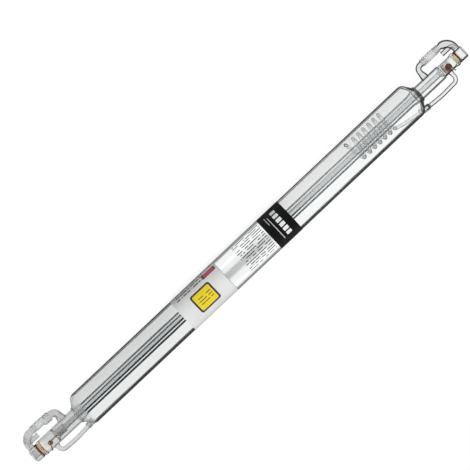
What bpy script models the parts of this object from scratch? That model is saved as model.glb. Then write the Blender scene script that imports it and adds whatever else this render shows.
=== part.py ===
"""Sealed glass CO2 laser tube, 1000 mm long, lying as it comes to rest.

Three coaxial glass tubes make the body: a gas reservoir outside, a water jacket inside it and the
discharge tube in the middle. Each end has a glass head with an electrode, a mirror glued to the head,
and a water cap glued to the mirror. A short silicone hose joins each cap to the neck of the water
jacket, and a bent glass arm lets gas pass between each head and the reservoir.

Sizes are in millimetres. The local frame has +X along the beam from the output end to the rear end,
+Z towards the hoses and -Y towards the electrode seals. A parent empty turns it about X, so that the
tube lies on its labels and on its two hoses, which touch the floor together.
"""
import math
from types import SimpleNamespace

import bmesh
import bpy
import numpy as np
from mathutils import Vector

MM = 0.001

# Overall and shared clearances
OVERALL_LENGTH = 1000.0
GAP = 0.3  # clearance kept at every fused, glued or wrapped joint
OVERRUN = 4.0  # how far a cutter runs past what it cuts

# Gas reservoir
RESERVOIR_OD = 64.0
RESERVOIR_WALL = 2.4
SHOULDER_ANGLE = 55.0
SHOULDER_ROUND = 12.0
LIP_LENGTH = 3.0
LIP_WALL = 1.9

# Water jacket and its necks
JACKET_OD = 21.0
JACKET_WALL = 1.5
OUTPUT_NECK_OD = 28.0
REAR_NECK_OD = 26.0
OUTPUT_NECK_LENGTH = 51.0  # from the shoulder's seam to the ring seal
REAR_NECK_LENGTH = 55.0
NECK_TAPER = 20.0
TAPER_SHARES = (0.3, 0.7, 1.0)  # where along the taper its curve is drawn through

# Discharge tube and its funnels
DISCHARGE_OD = 10.2
DISCHARGE_WALL = 1.5
CATHODE_CUP = 20.0
CATHODE_CUP_MOUTH = 5.0
CATHODE_CUP_FLARE = 2.0
ANODE_FUNNEL = 7.0
FLANGE_THICKNESS = 1.4

# Heads, mirrors and caps
HEAD_LENGTH = 33.3
OUTPUT_HEAD_OD = 28.0
REAR_HEAD_OD = 22.4
HEAD_WALL = 1.6
OUTPUT_FLANGE_OD = 28.0
REAR_FLANGE_OD = 25.4
SEAT_DEPTH = 4.0
SEAT_WIDTH = 3.8
SEAT_BLEND = 5.0
OUTPUT_MIRROR_OD = 25.4
REAR_MIRROR_OD = 23.0
MIRROR_THICKNESS = 3.0
MIRROR_CHAMFER = 0.3
BOND_THICKNESS = 0.6
BOND_PROUD = 0.4
CAP_LENGTH = 14.0
OUTPUT_CAP_OD = 26.8
REAR_CAP_OD = 22.8
CAP_WALL = 1.6
OUTPUT_CAP_ROUND = 5.0
REAR_CAP_ROUND = 1.8
BEAM_BORE = 12.0
BEAM_TUBE_WALL = 1.4

# Water connections
HOSE_OFFSET = 33.6
HOSE_WALL = 1.5
HOSE_SWELL = 3.5  # length over which a hose widens to grip a thicker spigot
OUTPUT_NECK_SPIGOT_OD = 13.2
REAR_NECK_SPIGOT_OD = 10.0
CAP_SPIGOT_OD = 10.0
SPIGOT_WALL = 1.3
SPIGOT_GRIP = 10.0
NECK_ELBOW_SETBACK = 26.4  # from the ring seal to the middle of the elbow's leg
NECK_ELBOW_BEND = 9.0
NECK_ELBOW_STRAIGHT = 3.0  # from the end of the bend to the hose
NECK_ELBOW_FLARE = 2.0
CAP_ELBOW_OD = 14.2
CAP_ELBOW_FOOT_OD = 12.4
CAP_ELBOW_BEND = 19.0
CAP_ELBOW_STRAIGHT = 1.5
CAP_ELBOW_SETBACK = 7.6  # from the end of the tube to the middle of the elbow's leg
NOZZLE_OD = 8.6
NOZZLE_BORE = 6.2
NOZZLE_OFFSET = 21.4
NOZZLE_LENGTH = 19.3
NOZZLE_DIP_OD = 6.4
NOZZLE_DIP_WALL = 1.0
NOZZLE_BEND = 5.0
NOZZLE_DIP = 12.6  # height of the dip's open end above the beam

# Gas arms and the return spiral
OUTPUT_ARM_OD = 8.2
OUTPUT_ARM_OFFSET = 26.8
OUTPUT_ARM_INSET = 10.0  # from the ring seal to the middle of the arm's leg
OUTPUT_BOSS_INSIDE = 13.0
REAR_ARM_OD = 7.8
REAR_ARM_OFFSET = 28.2
REAR_ARM_INSET = 11.6
REAR_BOSS_INSIDE = 19.0
ARM_WALL = 1.3
ARM_BEND = 9.0
ARM_BOW = 1.5
ARM_BOW_SHARE = 0.8  # how much of the bow the arm has half way to its middle
ARM_ROOT_FLARE = 1.2
ARM_GRIP = 6.0
ROOT_HEIGHTS = (1.5, 4.0)  # heights above the glass at which a flared root is shaped
ROOT_CLEARANCE = 0.5  # how far those heights stay from a bend
BOSS_WALL = 1.6
BOSS_OUTSIDE = 1.0
BOSS_DROP = 0.8  # how much nearer the beam the boss is at the seam than the arm
BOSS_SLOPE = 0.13  # a boss tilts outwards, so that the arm clears the shoulder
SPIRAL_TUBE_OD = 6.4
SPIRAL_TUBE_WALL = 1.0
SPIRAL_OD = 43.6
SPIRAL_PITCH = 11.7
SPIRAL_TURNS = 6.5
SPIRAL_SETBACK = 66.4  # from the rear shoulder's seam to the coil
SPIRAL_RISE = 2.6  # the coil's axis lies this far towards the hoses
SPIRAL_LEAD = 26.0
SPIRAL_DRAW = 5.0  # how much further the last turn is drawn out than the others
BRIDGE_SHARES = (0.2, 0.4, 0.6, 0.8, 0.9)  # points of the curve that leads into the coil

# Electrodes
CATHODE_OD = 12.0
CATHODE_LENGTH = 17.0
ANODE_OD = 17.6
ANODE_LENGTH = 15.0
ANODE_STANDOFF = 4.5  # from the ring seal to the anode
ELECTRODE_WALL = 0.5
LEAD_OD = 2.0
LEAD_BEND = 2.2
LEAD_STANDOUT = 4.0
LEAD_TAIL = 11.0
LEAD_LEAN = 0.5  # how far a tail leans along the beam for each step down
CATHODE_LEAD_START = 0.7  # share of the cylinder's length before the wire lies in it
SEAL_TIP_OD = 6.4
SEAL_HEIGHT = 5.0
SEAL_ANGLE = 14.0  # from the viewer's side towards the gas arms
SEAL_SECTIONS = ((0.0, 1.0), (0.2, 0.45), (0.5, 0.0), (0.8, 0.0))  # (height, spread) shares
SEAL_TIP_SHARE = 0.6  # how thick the bead's end is beside its neck
OUTPUT_SEAL_ROOT_OD = 9.0
OUTPUT_SEAL_INSET = 13.3  # from the ring seal to the lead
REAR_SEAL_ROOT_OD = 13.0
REAR_SEAL_INSET = 13.2

# Labels
WHITE_LABEL_START = -152.4
WHITE_LABEL_WIDTH = 98.8
SILVER_LABEL_WIDTH = 99.8
BLACK_LABEL_WIDTH = 48.0
LABEL_THICKNESS = 0.25
LABEL_SPACING = 0.5
LABEL_SLIT = 7.5  # degrees left open where a label's ends nearly meet

# How finely round shapes are divided
BODY_SEGMENTS = 36
INNER_SEGMENTS = 24
CORE_SEGMENTS = 18
TUBE_SIDES = 12
THIN_SIDES = 8
TURN_STEPS = 10
ARC_STEP = 22.5
SHARP_ANGLE = 35.0  # edges that turn by more than this are shaded sharp
MERGE_DISTANCE = 1e-7  # metres

HALF_LENGTH = OVERALL_LENGTH / 2
RESERVOIR_R = RESERVOIR_OD / 2
JACKET_R = JACKET_OD / 2
DISCHARGE_R = DISCHARGE_OD / 2
LEAD_R = LEAD_OD / 2
LABEL_INNER_R = RESERVOIR_R + GAP
LABEL_OUTER_R = LABEL_INNER_R + LABEL_THICKNESS
HOSE_R = CAP_SPIGOT_OD / 2 + GAP + HOSE_WALL

# Where each piece stands, as distances from the middle of the tube, from the ends inwards
CAP_RIM = HALF_LENGTH - CAP_LENGTH
CAP_BOND_FACE = CAP_RIM - GAP - BOND_THICKNESS
MIRROR_FACE = CAP_BOND_FACE - GAP - MIRROR_THICKNESS
MIRROR_BOND_FACE = MIRROR_FACE - GAP - BOND_THICKNESS
HEAD_END = MIRROR_BOND_FACE - GAP
HEAD_START = HEAD_END - HEAD_LENGTH
RING_SEAL = HEAD_START - GAP
CATHODE_START = RING_SEAL - CATHODE_CUP + GAP
ANODE_START = RING_SEAL + ANODE_STANDOFF
NECK_ELBOW_POSITION = RING_SEAL - NECK_ELBOW_SETBACK
CAP_LEG_POSITION = HALF_LENGTH - CAP_ELBOW_SETBACK
HOSE_START = NECK_ELBOW_POSITION + NECK_ELBOW_BEND + NECK_ELBOW_STRAIGHT
HOSE_END = CAP_LEG_POSITION - CAP_ELBOW_BEND - CAP_ELBOW_STRAIGHT - GAP
NOZZLE_ROOT = CAP_LEG_POSITION - CAP_ELBOW_FOOT_OD / 2 + SPIGOT_WALL
NOZZLE_MOUTH = NOZZLE_ROOT - NOZZLE_LENGTH

OUTPUT = SimpleNamespace(
    name="output",
    side=-1,
    seam=RING_SEAL - OUTPUT_NECK_LENGTH,
    neck_r=OUTPUT_NECK_OD / 2,
    spigot_r=OUTPUT_NECK_SPIGOT_OD / 2,
    head_r=OUTPUT_HEAD_OD / 2,
    flange_r=OUTPUT_FLANGE_OD / 2,
    mirror_r=OUTPUT_MIRROR_OD / 2,
    cap_r=OUTPUT_CAP_OD / 2,
    cap_round=OUTPUT_CAP_ROUND,
    arm_r=OUTPUT_ARM_OD / 2,
    arm_offset=OUTPUT_ARM_OFFSET,
    arm_position=RING_SEAL + OUTPUT_ARM_INSET,
    boss_inside=OUTPUT_BOSS_INSIDE,
    seal_r=OUTPUT_SEAL_ROOT_OD / 2,
    seal_position=RING_SEAL + OUTPUT_SEAL_INSET,
)
REAR = SimpleNamespace(
    name="rear",
    side=1,
    seam=RING_SEAL - REAR_NECK_LENGTH,
    neck_r=REAR_NECK_OD / 2,
    spigot_r=REAR_NECK_SPIGOT_OD / 2,
    head_r=REAR_HEAD_OD / 2,
    flange_r=REAR_FLANGE_OD / 2,
    mirror_r=REAR_MIRROR_OD / 2,
    cap_r=REAR_CAP_OD / 2,
    cap_round=REAR_CAP_ROUND,
    arm_r=REAR_ARM_OD / 2,
    arm_offset=REAR_ARM_OFFSET,
    arm_position=RING_SEAL + REAR_ARM_INSET,
    boss_inside=REAR_BOSS_INSIDE,
    seal_r=REAR_SEAL_ROOT_OD / 2,
    seal_position=RING_SEAL + REAR_SEAL_INSET,
)

# The hoses and the labels touch the floor together, which sets how far the tube is rolled.
LABEL_FLAT = LABEL_OUTER_R * math.cos(math.pi / BODY_SEGMENTS)
HOSE_LEAN = math.acos((LABEL_FLAT - HOSE_R) / HOSE_OFFSET)
FLOOR_DIRECTION = math.pi / 2 - HOSE_LEAN  # from +Y towards +Z, in the local frame

UP = Vector((0.0, 0.0, 1.0))
DOWN = Vector((0.0, 0.0, -1.0))
SEAL_DIRECTION = Vector((
    0.0, -math.cos(math.radians(SEAL_ANGLE)), -math.sin(math.radians(SEAL_ANGLE))
))


def make_material(name, colour, roughness, metallic=0.0, transmission=0.0):
    material = bpy.data.materials.new(name)
    material.use_nodes = True
    shader = material.node_tree.nodes["Principled BSDF"]
    shader.inputs["Base Color"].default_value = (*colour, 1.0)
    shader.inputs["Roughness"].default_value = roughness
    shader.inputs["Metallic"].default_value = metallic
    shader.inputs["Transmission Weight"].default_value = transmission
    return material


# Shapes that turn about the beam

def arc(centre, radius, start, end):
    """Points of an arc from one angle to another, both in degrees."""
    steps = max(2, math.ceil(abs(end - start) / ARC_STEP))
    angles = np.radians(np.linspace(start, end, steps + 1))
    return [(centre[0] + radius * math.cos(a), centre[1] + radius * math.sin(a)) for a in angles]


def turned(name, profile, material, segments, phase=None, closed=True):
    """A profile of (x, radius) points turned about the X axis; a closed loop makes a ring or a tube."""
    if phase is None:
        phase = FLOOR_DIRECTION + math.pi / segments
    bm = bmesh.new()
    direction = (math.cos(phase), math.sin(phase))
    points = [
        bm.verts.new((x * MM, r * MM * direction[0], r * MM * direction[1])) for x, r in profile
    ]
    edges = [bm.edges.new(pair) for pair in zip(points, points[1:])]
    if closed:
        edges.append(bm.edges.new((points[-1], points[0])))
    bmesh.ops.spin(
        bm,
        geom=points + edges,
        cent=(0, 0, 0),
        axis=(1, 0, 0),
        angle=2 * math.pi,
        steps=segments,
        use_merge=True,
    )
    bmesh.ops.remove_doubles(bm, verts=bm.verts, dist=MERGE_DISTANCE)
    return finished(name, bm, material)


def finished(name, bm, material):
    """The bmesh as an object that is shaded smooth and parented to the resting frame."""
    bmesh.ops.recalc_face_normals(bm, faces=bm.faces)
    mesh = bpy.data.meshes.new(name)
    bm.to_mesh(mesh)
    bm.free()
    mesh.shade_smooth()
    mesh.set_sharp_from_angle(angle=math.radians(SHARP_ANGLE))
    if material is not None:
        mesh.materials.append(material)
    obj = bpy.data.objects.new(name, mesh)
    bpy.context.scene.collection.objects.link(obj)
    obj.parent = resting
    return obj


def mirrored(end, profile):
    """A profile drawn with distances from the middle, moved to its own end of the tube."""
    return [(end.side * x, r) for x, r in profile]


# Shapes that follow a path

def rounded_path(corners, radii):
    """A path through the corners whose inner corners are arcs of the given radii."""
    points = [corners[0]]
    for before, corner, after, radius in zip(corners, corners[1:], corners[2:], radii):
        inward = (corner - before).normalized()
        outward = (after - corner).normalized()
        turn = inward.angle(outward)
        setback = radius * math.tan(turn / 2)
        start = corner - inward * setback
        middle = (outward - inward).normalized()
        centre = corner + middle * (radius / math.cos(turn / 2))
        axis = inward.cross(outward).normalized()
        steps = max(2, math.ceil(math.degrees(turn) / ARC_STEP))
        arm = start - centre
        for step in range(steps + 1):
            angle = turn * step / steps
            swung = arm * math.cos(angle) + axis.cross(arm) * math.sin(angle)
            points.append(centre + swung)
    points.append(corners[-1])
    return points


def travelled(points):
    """The distance run along the path at each of its points."""
    steps = [(b - a).length for a, b in zip(points, points[1:])]
    return [0.0, *np.cumsum(steps)]


def swept(name, points, outer, inner, material, sides):
    """A tube along a path. outer and inner give its radii at each point, and inner is None on a rod."""
    count = len(points)
    tangents = [
        (points[min(i + 1, count - 1)] - points[max(i - 1, 0)]).normalized() for i in range(count)
    ]
    across = tangents[0].orthogonal().normalized()
    bm = bmesh.new()
    skins = [outer] if inner is None else [outer, inner]
    rings = [[] for _ in skins]
    for point, tangent, *radii in zip(points, tangents, *skins):
        across = (across - tangent * across.dot(tangent)).normalized()
        up = tangent.cross(across)
        for ring, radius in zip(rings, radii):
            angles = [2 * math.pi * k / sides for k in range(sides)]
            ring.append([
                bm.verts.new((point + (across * math.cos(a) + up * math.sin(a)) * radius) * MM)
                for a in angles
            ])
    for ring in rings:
        for near, far in zip(ring, ring[1:]):
            join_rings(bm, near, far)
    if inner is None:
        bm.faces.new(rings[0][0])
        bm.faces.new(rings[0][-1])
    else:
        join_rings(bm, rings[0][0], rings[1][0])
        join_rings(bm, rings[0][-1], rings[1][-1])
    return finished(name, bm, material)


def join_rings(bm, near, far):
    """A band of quads between two rings of the same number of points."""
    for k, point in enumerate(near):
        after = (k + 1) % len(near)
        bm.faces.new((point, near[after], far[after], far[k]))


def in_plane(end, corners):
    """Corners given as (distance from the middle, height) placed in the plane of the hoses and arms."""
    return [Vector((end.side * x, 0.0, z)) for x, z in corners]


def blended(distance, start, length, low, high):
    """A value that eases from low to high over a length that begins at start."""
    share = min(1.0, max(0.0, (distance - start) / length))
    return low + (high - low) * share * share * (3 - 2 * share)


# Cuts and joins

def cut(obj, cutter):
    """Removes the cutter's shape from the object."""
    boolean(obj, cutter, "DIFFERENCE")


def boolean(obj, other, operation):
    other.hide_render = True
    other.display_type = "WIRE"
    modifier = obj.modifiers.new(other.name, "BOOLEAN")
    modifier.operation = operation
    modifier.solver = "EXACT"
    modifier.object = other


def rod_along_x(name, start, end, radius, offset, segments=TUBE_SIDES):
    """A plain rod parallel to the beam, at a height above it, for cuts."""
    profile = [(start, 0), (start, radius), (end, radius), (end, 0)]
    rod = turned(name, profile, None, segments, closed=False)
    rod.location = (0, 0, offset * MM)
    return rod


def rod_outward(name, x, reach, radius, direction, segments=TUBE_SIDES):
    """A plain rod from the beam outwards, for cuts. direction is a unit vector across the beam."""
    foot = Vector((x, 0, 0))
    return swept(name, [foot, foot + direction * reach], [radius] * 2, None, None, segments)


def saddle(obj, radius, end, start, stop, segments):
    """Shapes the foot of a side tube to lie on a round tube, with the usual gap."""
    profile = [(start, 0), (start, radius + GAP), (stop, radius + GAP), (stop, 0)]
    cutter = turned(obj.name + "_saddle", mirrored(end, profile), None, segments, closed=False)
    cut(obj, cutter)


# Gas reservoir

def shoulder_profile(end):
    """(outer, inner) points of one shoulder, from the lip at the neck out to the reservoir's wall."""
    slope = math.radians(SHOULDER_ANGLE)
    wall = RESERVOIR_WALL
    bore = end.neck_r + GAP
    lip_r = bore + LIP_WALL
    knee = end.seam - (RESERVOIR_R - lip_r) / math.tan(slope)
    round_start = knee - SHOULDER_ROUND * math.tan(slope / 2)
    centre = (round_start, RESERVOIR_R - SHOULDER_ROUND)
    outer = [(end.seam + LIP_LENGTH, bore), (end.seam + LIP_LENGTH, lip_r), (end.seam, lip_r)]
    outer += arc(centre, SHOULDER_ROUND, 90 - SHOULDER_ANGLE, 90)
    inner_foot = knee + (RESERVOIR_R - bore - wall / math.cos(slope)) / math.tan(slope)
    inner = arc(centre, SHOULDER_ROUND - wall, 90, 90 - SHOULDER_ANGLE)
    inner += [(inner_foot, bore)]
    return mirrored(end, outer), mirrored(end, inner)


def boss_point(end, distance):
    """A point on the axis of the boss that holds the gas arm, at a distance from the middle."""
    z = BOSS_DROP - end.arm_offset - (distance - end.seam) * BOSS_SLOPE
    return Vector((end.side * distance, 0.0, z))


def boss_rod(end, name, inside, outside, radius):
    ends = [boss_point(end, inside), boss_point(end, outside)]
    return swept(f"{end.name}_{name}", ends, [radius] * 2, None, None, TUBE_SIDES)


def make_reservoir():
    output_outer, output_inner = shoulder_profile(OUTPUT)
    rear_outer, rear_inner = shoulder_profile(REAR)
    profile = output_outer + rear_outer[::-1] + rear_inner[::-1] + output_inner
    reservoir = turned("reservoir_tube", profile, glass, BODY_SEGMENTS)
    for end in (OUTPUT, REAR):
        inside = end.seam - end.boss_inside
        outside = end.seam + BOSS_OUTSIDE
        bore_r = end.arm_r + GAP
        boolean(reservoir, boss_rod(end, "boss", inside, outside, bore_r + BOSS_WALL), "UNION")
        cut(reservoir, boss_rod(end, "boss_bore", inside - OVERRUN, outside + OVERRUN, bore_r))
    return reservoir


# Water jacket and discharge tube

def make_jacket():
    outer = []
    inner = []
    for end in (OUTPUT, REAR):
        line = [(RING_SEAL, end.neck_r), (end.seam, end.neck_r)]
        for share in TAPER_SHARES:
            x = end.seam - NECK_TAPER * share
            line.append((x, blended(share, 0, 1, end.neck_r, JACKET_R)))
        skin = mirrored(end, line)
        lining = [(x, r - JACKET_WALL) for x, r in skin]
        if end is OUTPUT:
            outer += skin
            inner += lining
        else:
            outer += skin[::-1]
            inner += lining[::-1]
    jacket = turned("water_jacket", outer + inner[::-1], glass, INNER_SEGMENTS)
    for end in (OUTPUT, REAR):
        x = end.side * NECK_ELBOW_POSITION
        bore_r = end.spigot_r - SPIGOT_WALL
        cut(jacket, rod_outward(f"{end.name}_neck_port", x, end.neck_r + OVERRUN, bore_r, UP))
    return jacket


def cathode_cup():
    """(outer, inner) points of the cup round the cathode, from the ring seal down to the bore."""
    cup_r = CATHODE_OD / 2 + GAP
    outer_r = cup_r + DISCHARGE_WALL
    flange_r = OUTPUT.neck_r - JACKET_WALL - GAP
    floor = RING_SEAL - CATHODE_CUP
    mouth = RING_SEAL - CATHODE_CUP_MOUTH
    step = (cup_r - DISCHARGE_R + DISCHARGE_WALL) / 2
    outer = [
        (RING_SEAL, flange_r),
        (RING_SEAL - FLANGE_THICKNESS, flange_r),
        (RING_SEAL - FLANGE_THICKNESS * 2, outer_r + CATHODE_CUP_FLARE),
        (mouth, outer_r),
        (floor, outer_r),
        (floor - step, outer_r - step),
        (floor - step * 2 - DISCHARGE_WALL, DISCHARGE_R),
    ]
    inner = [
        (RING_SEAL, cup_r + CATHODE_CUP_FLARE),
        (mouth, cup_r),
        (floor, cup_r),
        (floor - step * 2, DISCHARGE_R - DISCHARGE_WALL),
    ]
    return mirrored(OUTPUT, outer), mirrored(OUTPUT, inner)


def anode_funnel():
    """(outer, inner) points of the short funnel at the anode's end."""
    flange_r = REAR.neck_r - JACKET_WALL - GAP
    throat = RING_SEAL - ANODE_FUNNEL
    knee = throat + (ANODE_FUNNEL - FLANGE_THICKNESS) / 2
    knee_r = DISCHARGE_R + DISCHARGE_WALL
    outer = [
        (RING_SEAL, flange_r),
        (RING_SEAL - FLANGE_THICKNESS, flange_r),
        (knee, knee_r),
        (throat, DISCHARGE_R),
    ]
    inner = [
        (RING_SEAL, flange_r - DISCHARGE_WALL),
        (knee + DISCHARGE_WALL, DISCHARGE_R),
        (throat + DISCHARGE_WALL, DISCHARGE_R - DISCHARGE_WALL),
    ]
    return outer, inner


def make_discharge_tube():
    """The bore, opening at each end into glass whose flange is the ring seal in the neck."""
    output_outer, output_inner = cathode_cup()
    rear_outer, rear_inner = anode_funnel()
    profile = output_outer + rear_outer[::-1] + rear_inner + output_inner[::-1]
    return turned("discharge_tube", profile, glass, CORE_SEGMENTS)


# Heads, mirrors and caps

def make_head(end):
    """The electrode chamber, ending in a thick ground flange on which the mirror is glued."""
    inner_r = end.head_r - HEAD_WALL
    seat_r = end.flange_r - SEAT_WIDTH
    seat = HEAD_END - SEAT_DEPTH
    blend = seat - SEAT_BLEND
    middle_r = (end.head_r + end.flange_r) / 2
    profile = [
        (HEAD_START, end.head_r),
        (blend, end.head_r),
        (blend + SEAT_BLEND / 2, middle_r),
        (seat, end.flange_r),
        (HEAD_END, end.flange_r),
        (HEAD_END, seat_r),
        (seat, seat_r),
        (seat - HEAD_WALL, inner_r),
        (HEAD_START, inner_r),
    ]
    if end.flange_r <= end.head_r:
        profile = profile[:1] + profile[4:]
    head = turned(f"{end.name}_head", mirrored(end, profile), glass, INNER_SEGMENTS)
    arm_x = end.side * end.arm_position
    reach = end.head_r + OVERRUN
    cut(head, rod_outward(f"{end.name}_arm_port", arm_x, reach, end.arm_r - ARM_WALL, DOWN))
    seal_x = end.side * end.seal_position
    port = rod_outward(f"{end.name}_seal_port", seal_x, reach, LEAD_R + GAP, SEAL_DIRECTION)
    cut(head, port)
    return head


def make_mirror(end, name, material):
    r = end.mirror_r
    back = MIRROR_FACE + MIRROR_THICKNESS
    profile = [
        (MIRROR_FACE, 0),
        (MIRROR_FACE, r - MIRROR_CHAMFER),
        (MIRROR_FACE + MIRROR_CHAMFER, r),
        (back - MIRROR_CHAMFER, r),
        (back, r - MIRROR_CHAMFER),
        (back, 0),
    ]
    return turned(name, mirrored(end, profile), material, INNER_SEGMENTS, closed=False)


def make_bond(end, name, face, inner_r, outer_r):
    """A flat ring of glue."""
    far = face + BOND_THICKNESS
    profile = [(face, inner_r), (face, outer_r), (far, outer_r), (far, inner_r)]
    return turned(name, mirrored(end, profile), glue, CORE_SEGMENTS)


def cap_outline(end, inner_end_r):
    """The cap's outside from its rim to the flat of its end, with a rounded shoulder."""
    centre = (HALF_LENGTH - end.cap_round, end.cap_r - end.cap_round)
    return [(CAP_RIM, end.cap_r)] + arc(centre, end.cap_round, 90, 0) + [(HALF_LENGTH, inner_end_r)]


def cut_cap_port(end, cap, foot):
    """Opens the cap's side under the elbow, from a given height above the beam."""
    leg_x = end.side * CAP_LEG_POSITION
    bore_r = CAP_ELBOW_FOOT_OD / 2 - SPIGOT_WALL
    port = rod_outward(f"{end.name}_cap_port", leg_x, end.cap_r + OVERRUN, bore_r, UP)
    port.location = UP * (foot * MM)
    cut(cap, port)


def make_output_cap():
    """A ring-shaped water chamber, open to the mirror, with the beam's way out through its middle."""
    end = OUTPUT
    beam_r = BEAM_BORE / 2
    inner_r = end.cap_r - CAP_WALL
    ceiling = HALF_LENGTH - CAP_WALL
    inner_round = end.cap_round - CAP_WALL
    centre = (ceiling - inner_round, inner_r - inner_round)
    profile = cap_outline(end, beam_r)
    profile += [(CAP_RIM, beam_r), (CAP_RIM, beam_r + BEAM_TUBE_WALL)]
    profile += [(ceiling, beam_r + BEAM_TUBE_WALL)]
    profile += arc(centre, inner_round, 0, 90)
    profile += [(CAP_RIM, inner_r)]
    cap = turned("output_cap", mirrored(end, profile), glass, INNER_SEGMENTS)
    cut_cap_port(end, cap, beam_r + BEAM_TUBE_WALL + GAP)
    return cap


def make_rear_cap():
    """A closed cup that holds water against the back of the rear mirror."""
    end = REAR
    inner_r = end.cap_r - CAP_WALL
    ceiling = HALF_LENGTH - CAP_WALL
    profile = [(ceiling, 0), (ceiling, inner_r), (CAP_RIM, inner_r)]
    profile += cap_outline(end, 0)
    cap = turned("rear_cap", mirrored(end, profile), glass, INNER_SEGMENTS, closed=False)
    cut_cap_port(end, cap, 0.0)
    return cap


# Water connections

def grip_height(end):
    """The height of the neck's spigot, at which the hose that grips it just meets the floor."""
    return (LABEL_FLAT - end.spigot_r - GAP - HOSE_WALL) / math.cos(HOSE_LEAN)


def make_neck_elbow(end):
    """A glass elbow from the neck's side to the hose, flared where it is fused to the neck."""
    foot = end.neck_r - OVERRUN
    height = grip_height(end)
    straight_end = height - NECK_ELBOW_BEND
    steps = [end.neck_r + rise for rise in ROOT_HEIGHTS]
    risers = [foot] + [z for z in steps if z < straight_end - ROOT_CLEARANCE]
    corners = [
        (NECK_ELBOW_POSITION, risers[-1]),
        (NECK_ELBOW_POSITION, height),
        (HOSE_START + SPIGOT_GRIP, height),
    ]
    points = in_plane(end, [(NECK_ELBOW_POSITION, z) for z in risers[:-1]])
    points += rounded_path(in_plane(end, corners), [NECK_ELBOW_BEND])
    run = travelled(points)
    root_r = end.spigot_r + NECK_ELBOW_FLARE
    outer = [blended(d, OVERRUN, straight_end - end.neck_r, root_r, end.spigot_r) for d in run]
    inner = [end.spigot_r - SPIGOT_WALL] * len(points)
    elbow = swept(f"{end.name}_neck_elbow", points, outer, inner, glass, TUBE_SIDES)
    reach = root_r + OVERRUN
    start, stop = NECK_ELBOW_POSITION - reach, NECK_ELBOW_POSITION + reach
    saddle(elbow, end.neck_r, end, start, stop, INNER_SEGMENTS)
    return elbow


def make_hose(end):
    """A short silicone hose, pushed over the neck's spigot and the cap elbow's."""
    height = grip_height(end)
    near_r = end.spigot_r + GAP
    far_r = CAP_SPIGOT_OD / 2 + GAP
    swell = HOSE_START + SPIGOT_GRIP + GAP
    stations = [
        (HOSE_START, height, near_r),
        (swell, height, near_r),
        (swell + HOSE_SWELL, HOSE_OFFSET, far_r),
        (HOSE_END, HOSE_OFFSET, far_r),
    ]
    points = in_plane(end, [(x, z) for x, z, r in stations])
    inner = [r for x, z, r in stations]
    outer = [r + HOSE_WALL for r in inner]
    return swept(f"{end.name}_hose", points, outer, inner, silicone, CORE_SEGMENTS)


def make_cap_elbow(end):
    """A wide glass elbow from the hose down to the cap, with a hole where the nozzle enters it."""
    spigot_r = CAP_SPIGOT_OD / 2
    wide_r = CAP_ELBOW_OD / 2
    corners = [
        (HOSE_END + GAP, HOSE_OFFSET),
        (CAP_LEG_POSITION, HOSE_OFFSET),
        (CAP_LEG_POSITION, end.cap_r - OVERRUN),
    ]
    points = in_plane(end, [(HOSE_END - SPIGOT_GRIP, HOSE_OFFSET)])
    points += rounded_path(in_plane(end, corners), [CAP_ELBOW_BEND])
    run = travelled(points)
    taper_start = run[-1] - OVERRUN - CAP_ELBOW_OD
    narrowing = wide_r - CAP_ELBOW_FOOT_OD / 2
    outer = [
        blended(d, SPIGOT_GRIP + GAP, wide_r, spigot_r, wide_r)
        - blended(d, taper_start, CAP_ELBOW_OD, 0.0, narrowing)
        for d in run
    ]
    inner = [r - SPIGOT_WALL for r in outer]
    elbow = swept(f"{end.name}_cap_elbow", points, outer, inner, glass, TUBE_SIDES)
    saddle(elbow, end.cap_r, end, CAP_RIM - CAP_LENGTH, HALF_LENGTH + OVERRUN, INNER_SEGMENTS)
    start, stop = sorted((end.side * NOZZLE_MOUTH, end.side * (NOZZLE_ROOT + SPIGOT_WALL)))
    hole_r = NOZZLE_OD / 2 + GAP
    cut(elbow, rod_along_x(f"{end.name}_nozzle_hole", start, stop, hole_r, NOZZLE_OFFSET))
    return elbow


def make_nozzle(end):
    """The hose nozzle: straight outside the elbow, then a thin dip tube that turns down to the cap."""
    corners = [
        (NOZZLE_ROOT, NOZZLE_OFFSET),
        (CAP_LEG_POSITION, NOZZLE_OFFSET),
        (CAP_LEG_POSITION, NOZZLE_DIP),
    ]
    straight = [(NOZZLE_MOUTH, NOZZLE_OFFSET), (NOZZLE_ROOT - NOZZLE_DIP_OD / 2, NOZZLE_OFFSET)]
    bend = rounded_path(in_plane(end, corners), [NOZZLE_BEND])
    dip_r = NOZZLE_DIP_OD / 2
    outer = [NOZZLE_OD / 2] * 2 + [dip_r] * len(bend)
    inner = [NOZZLE_BORE / 2] * 2 + [dip_r - NOZZLE_DIP_WALL] * len(bend)
    points = in_plane(end, straight) + bend
    return swept(f"{end.name}_nozzle", points, outer, inner, glass, TUBE_SIDES)


# Gas arms and return spiral

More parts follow.
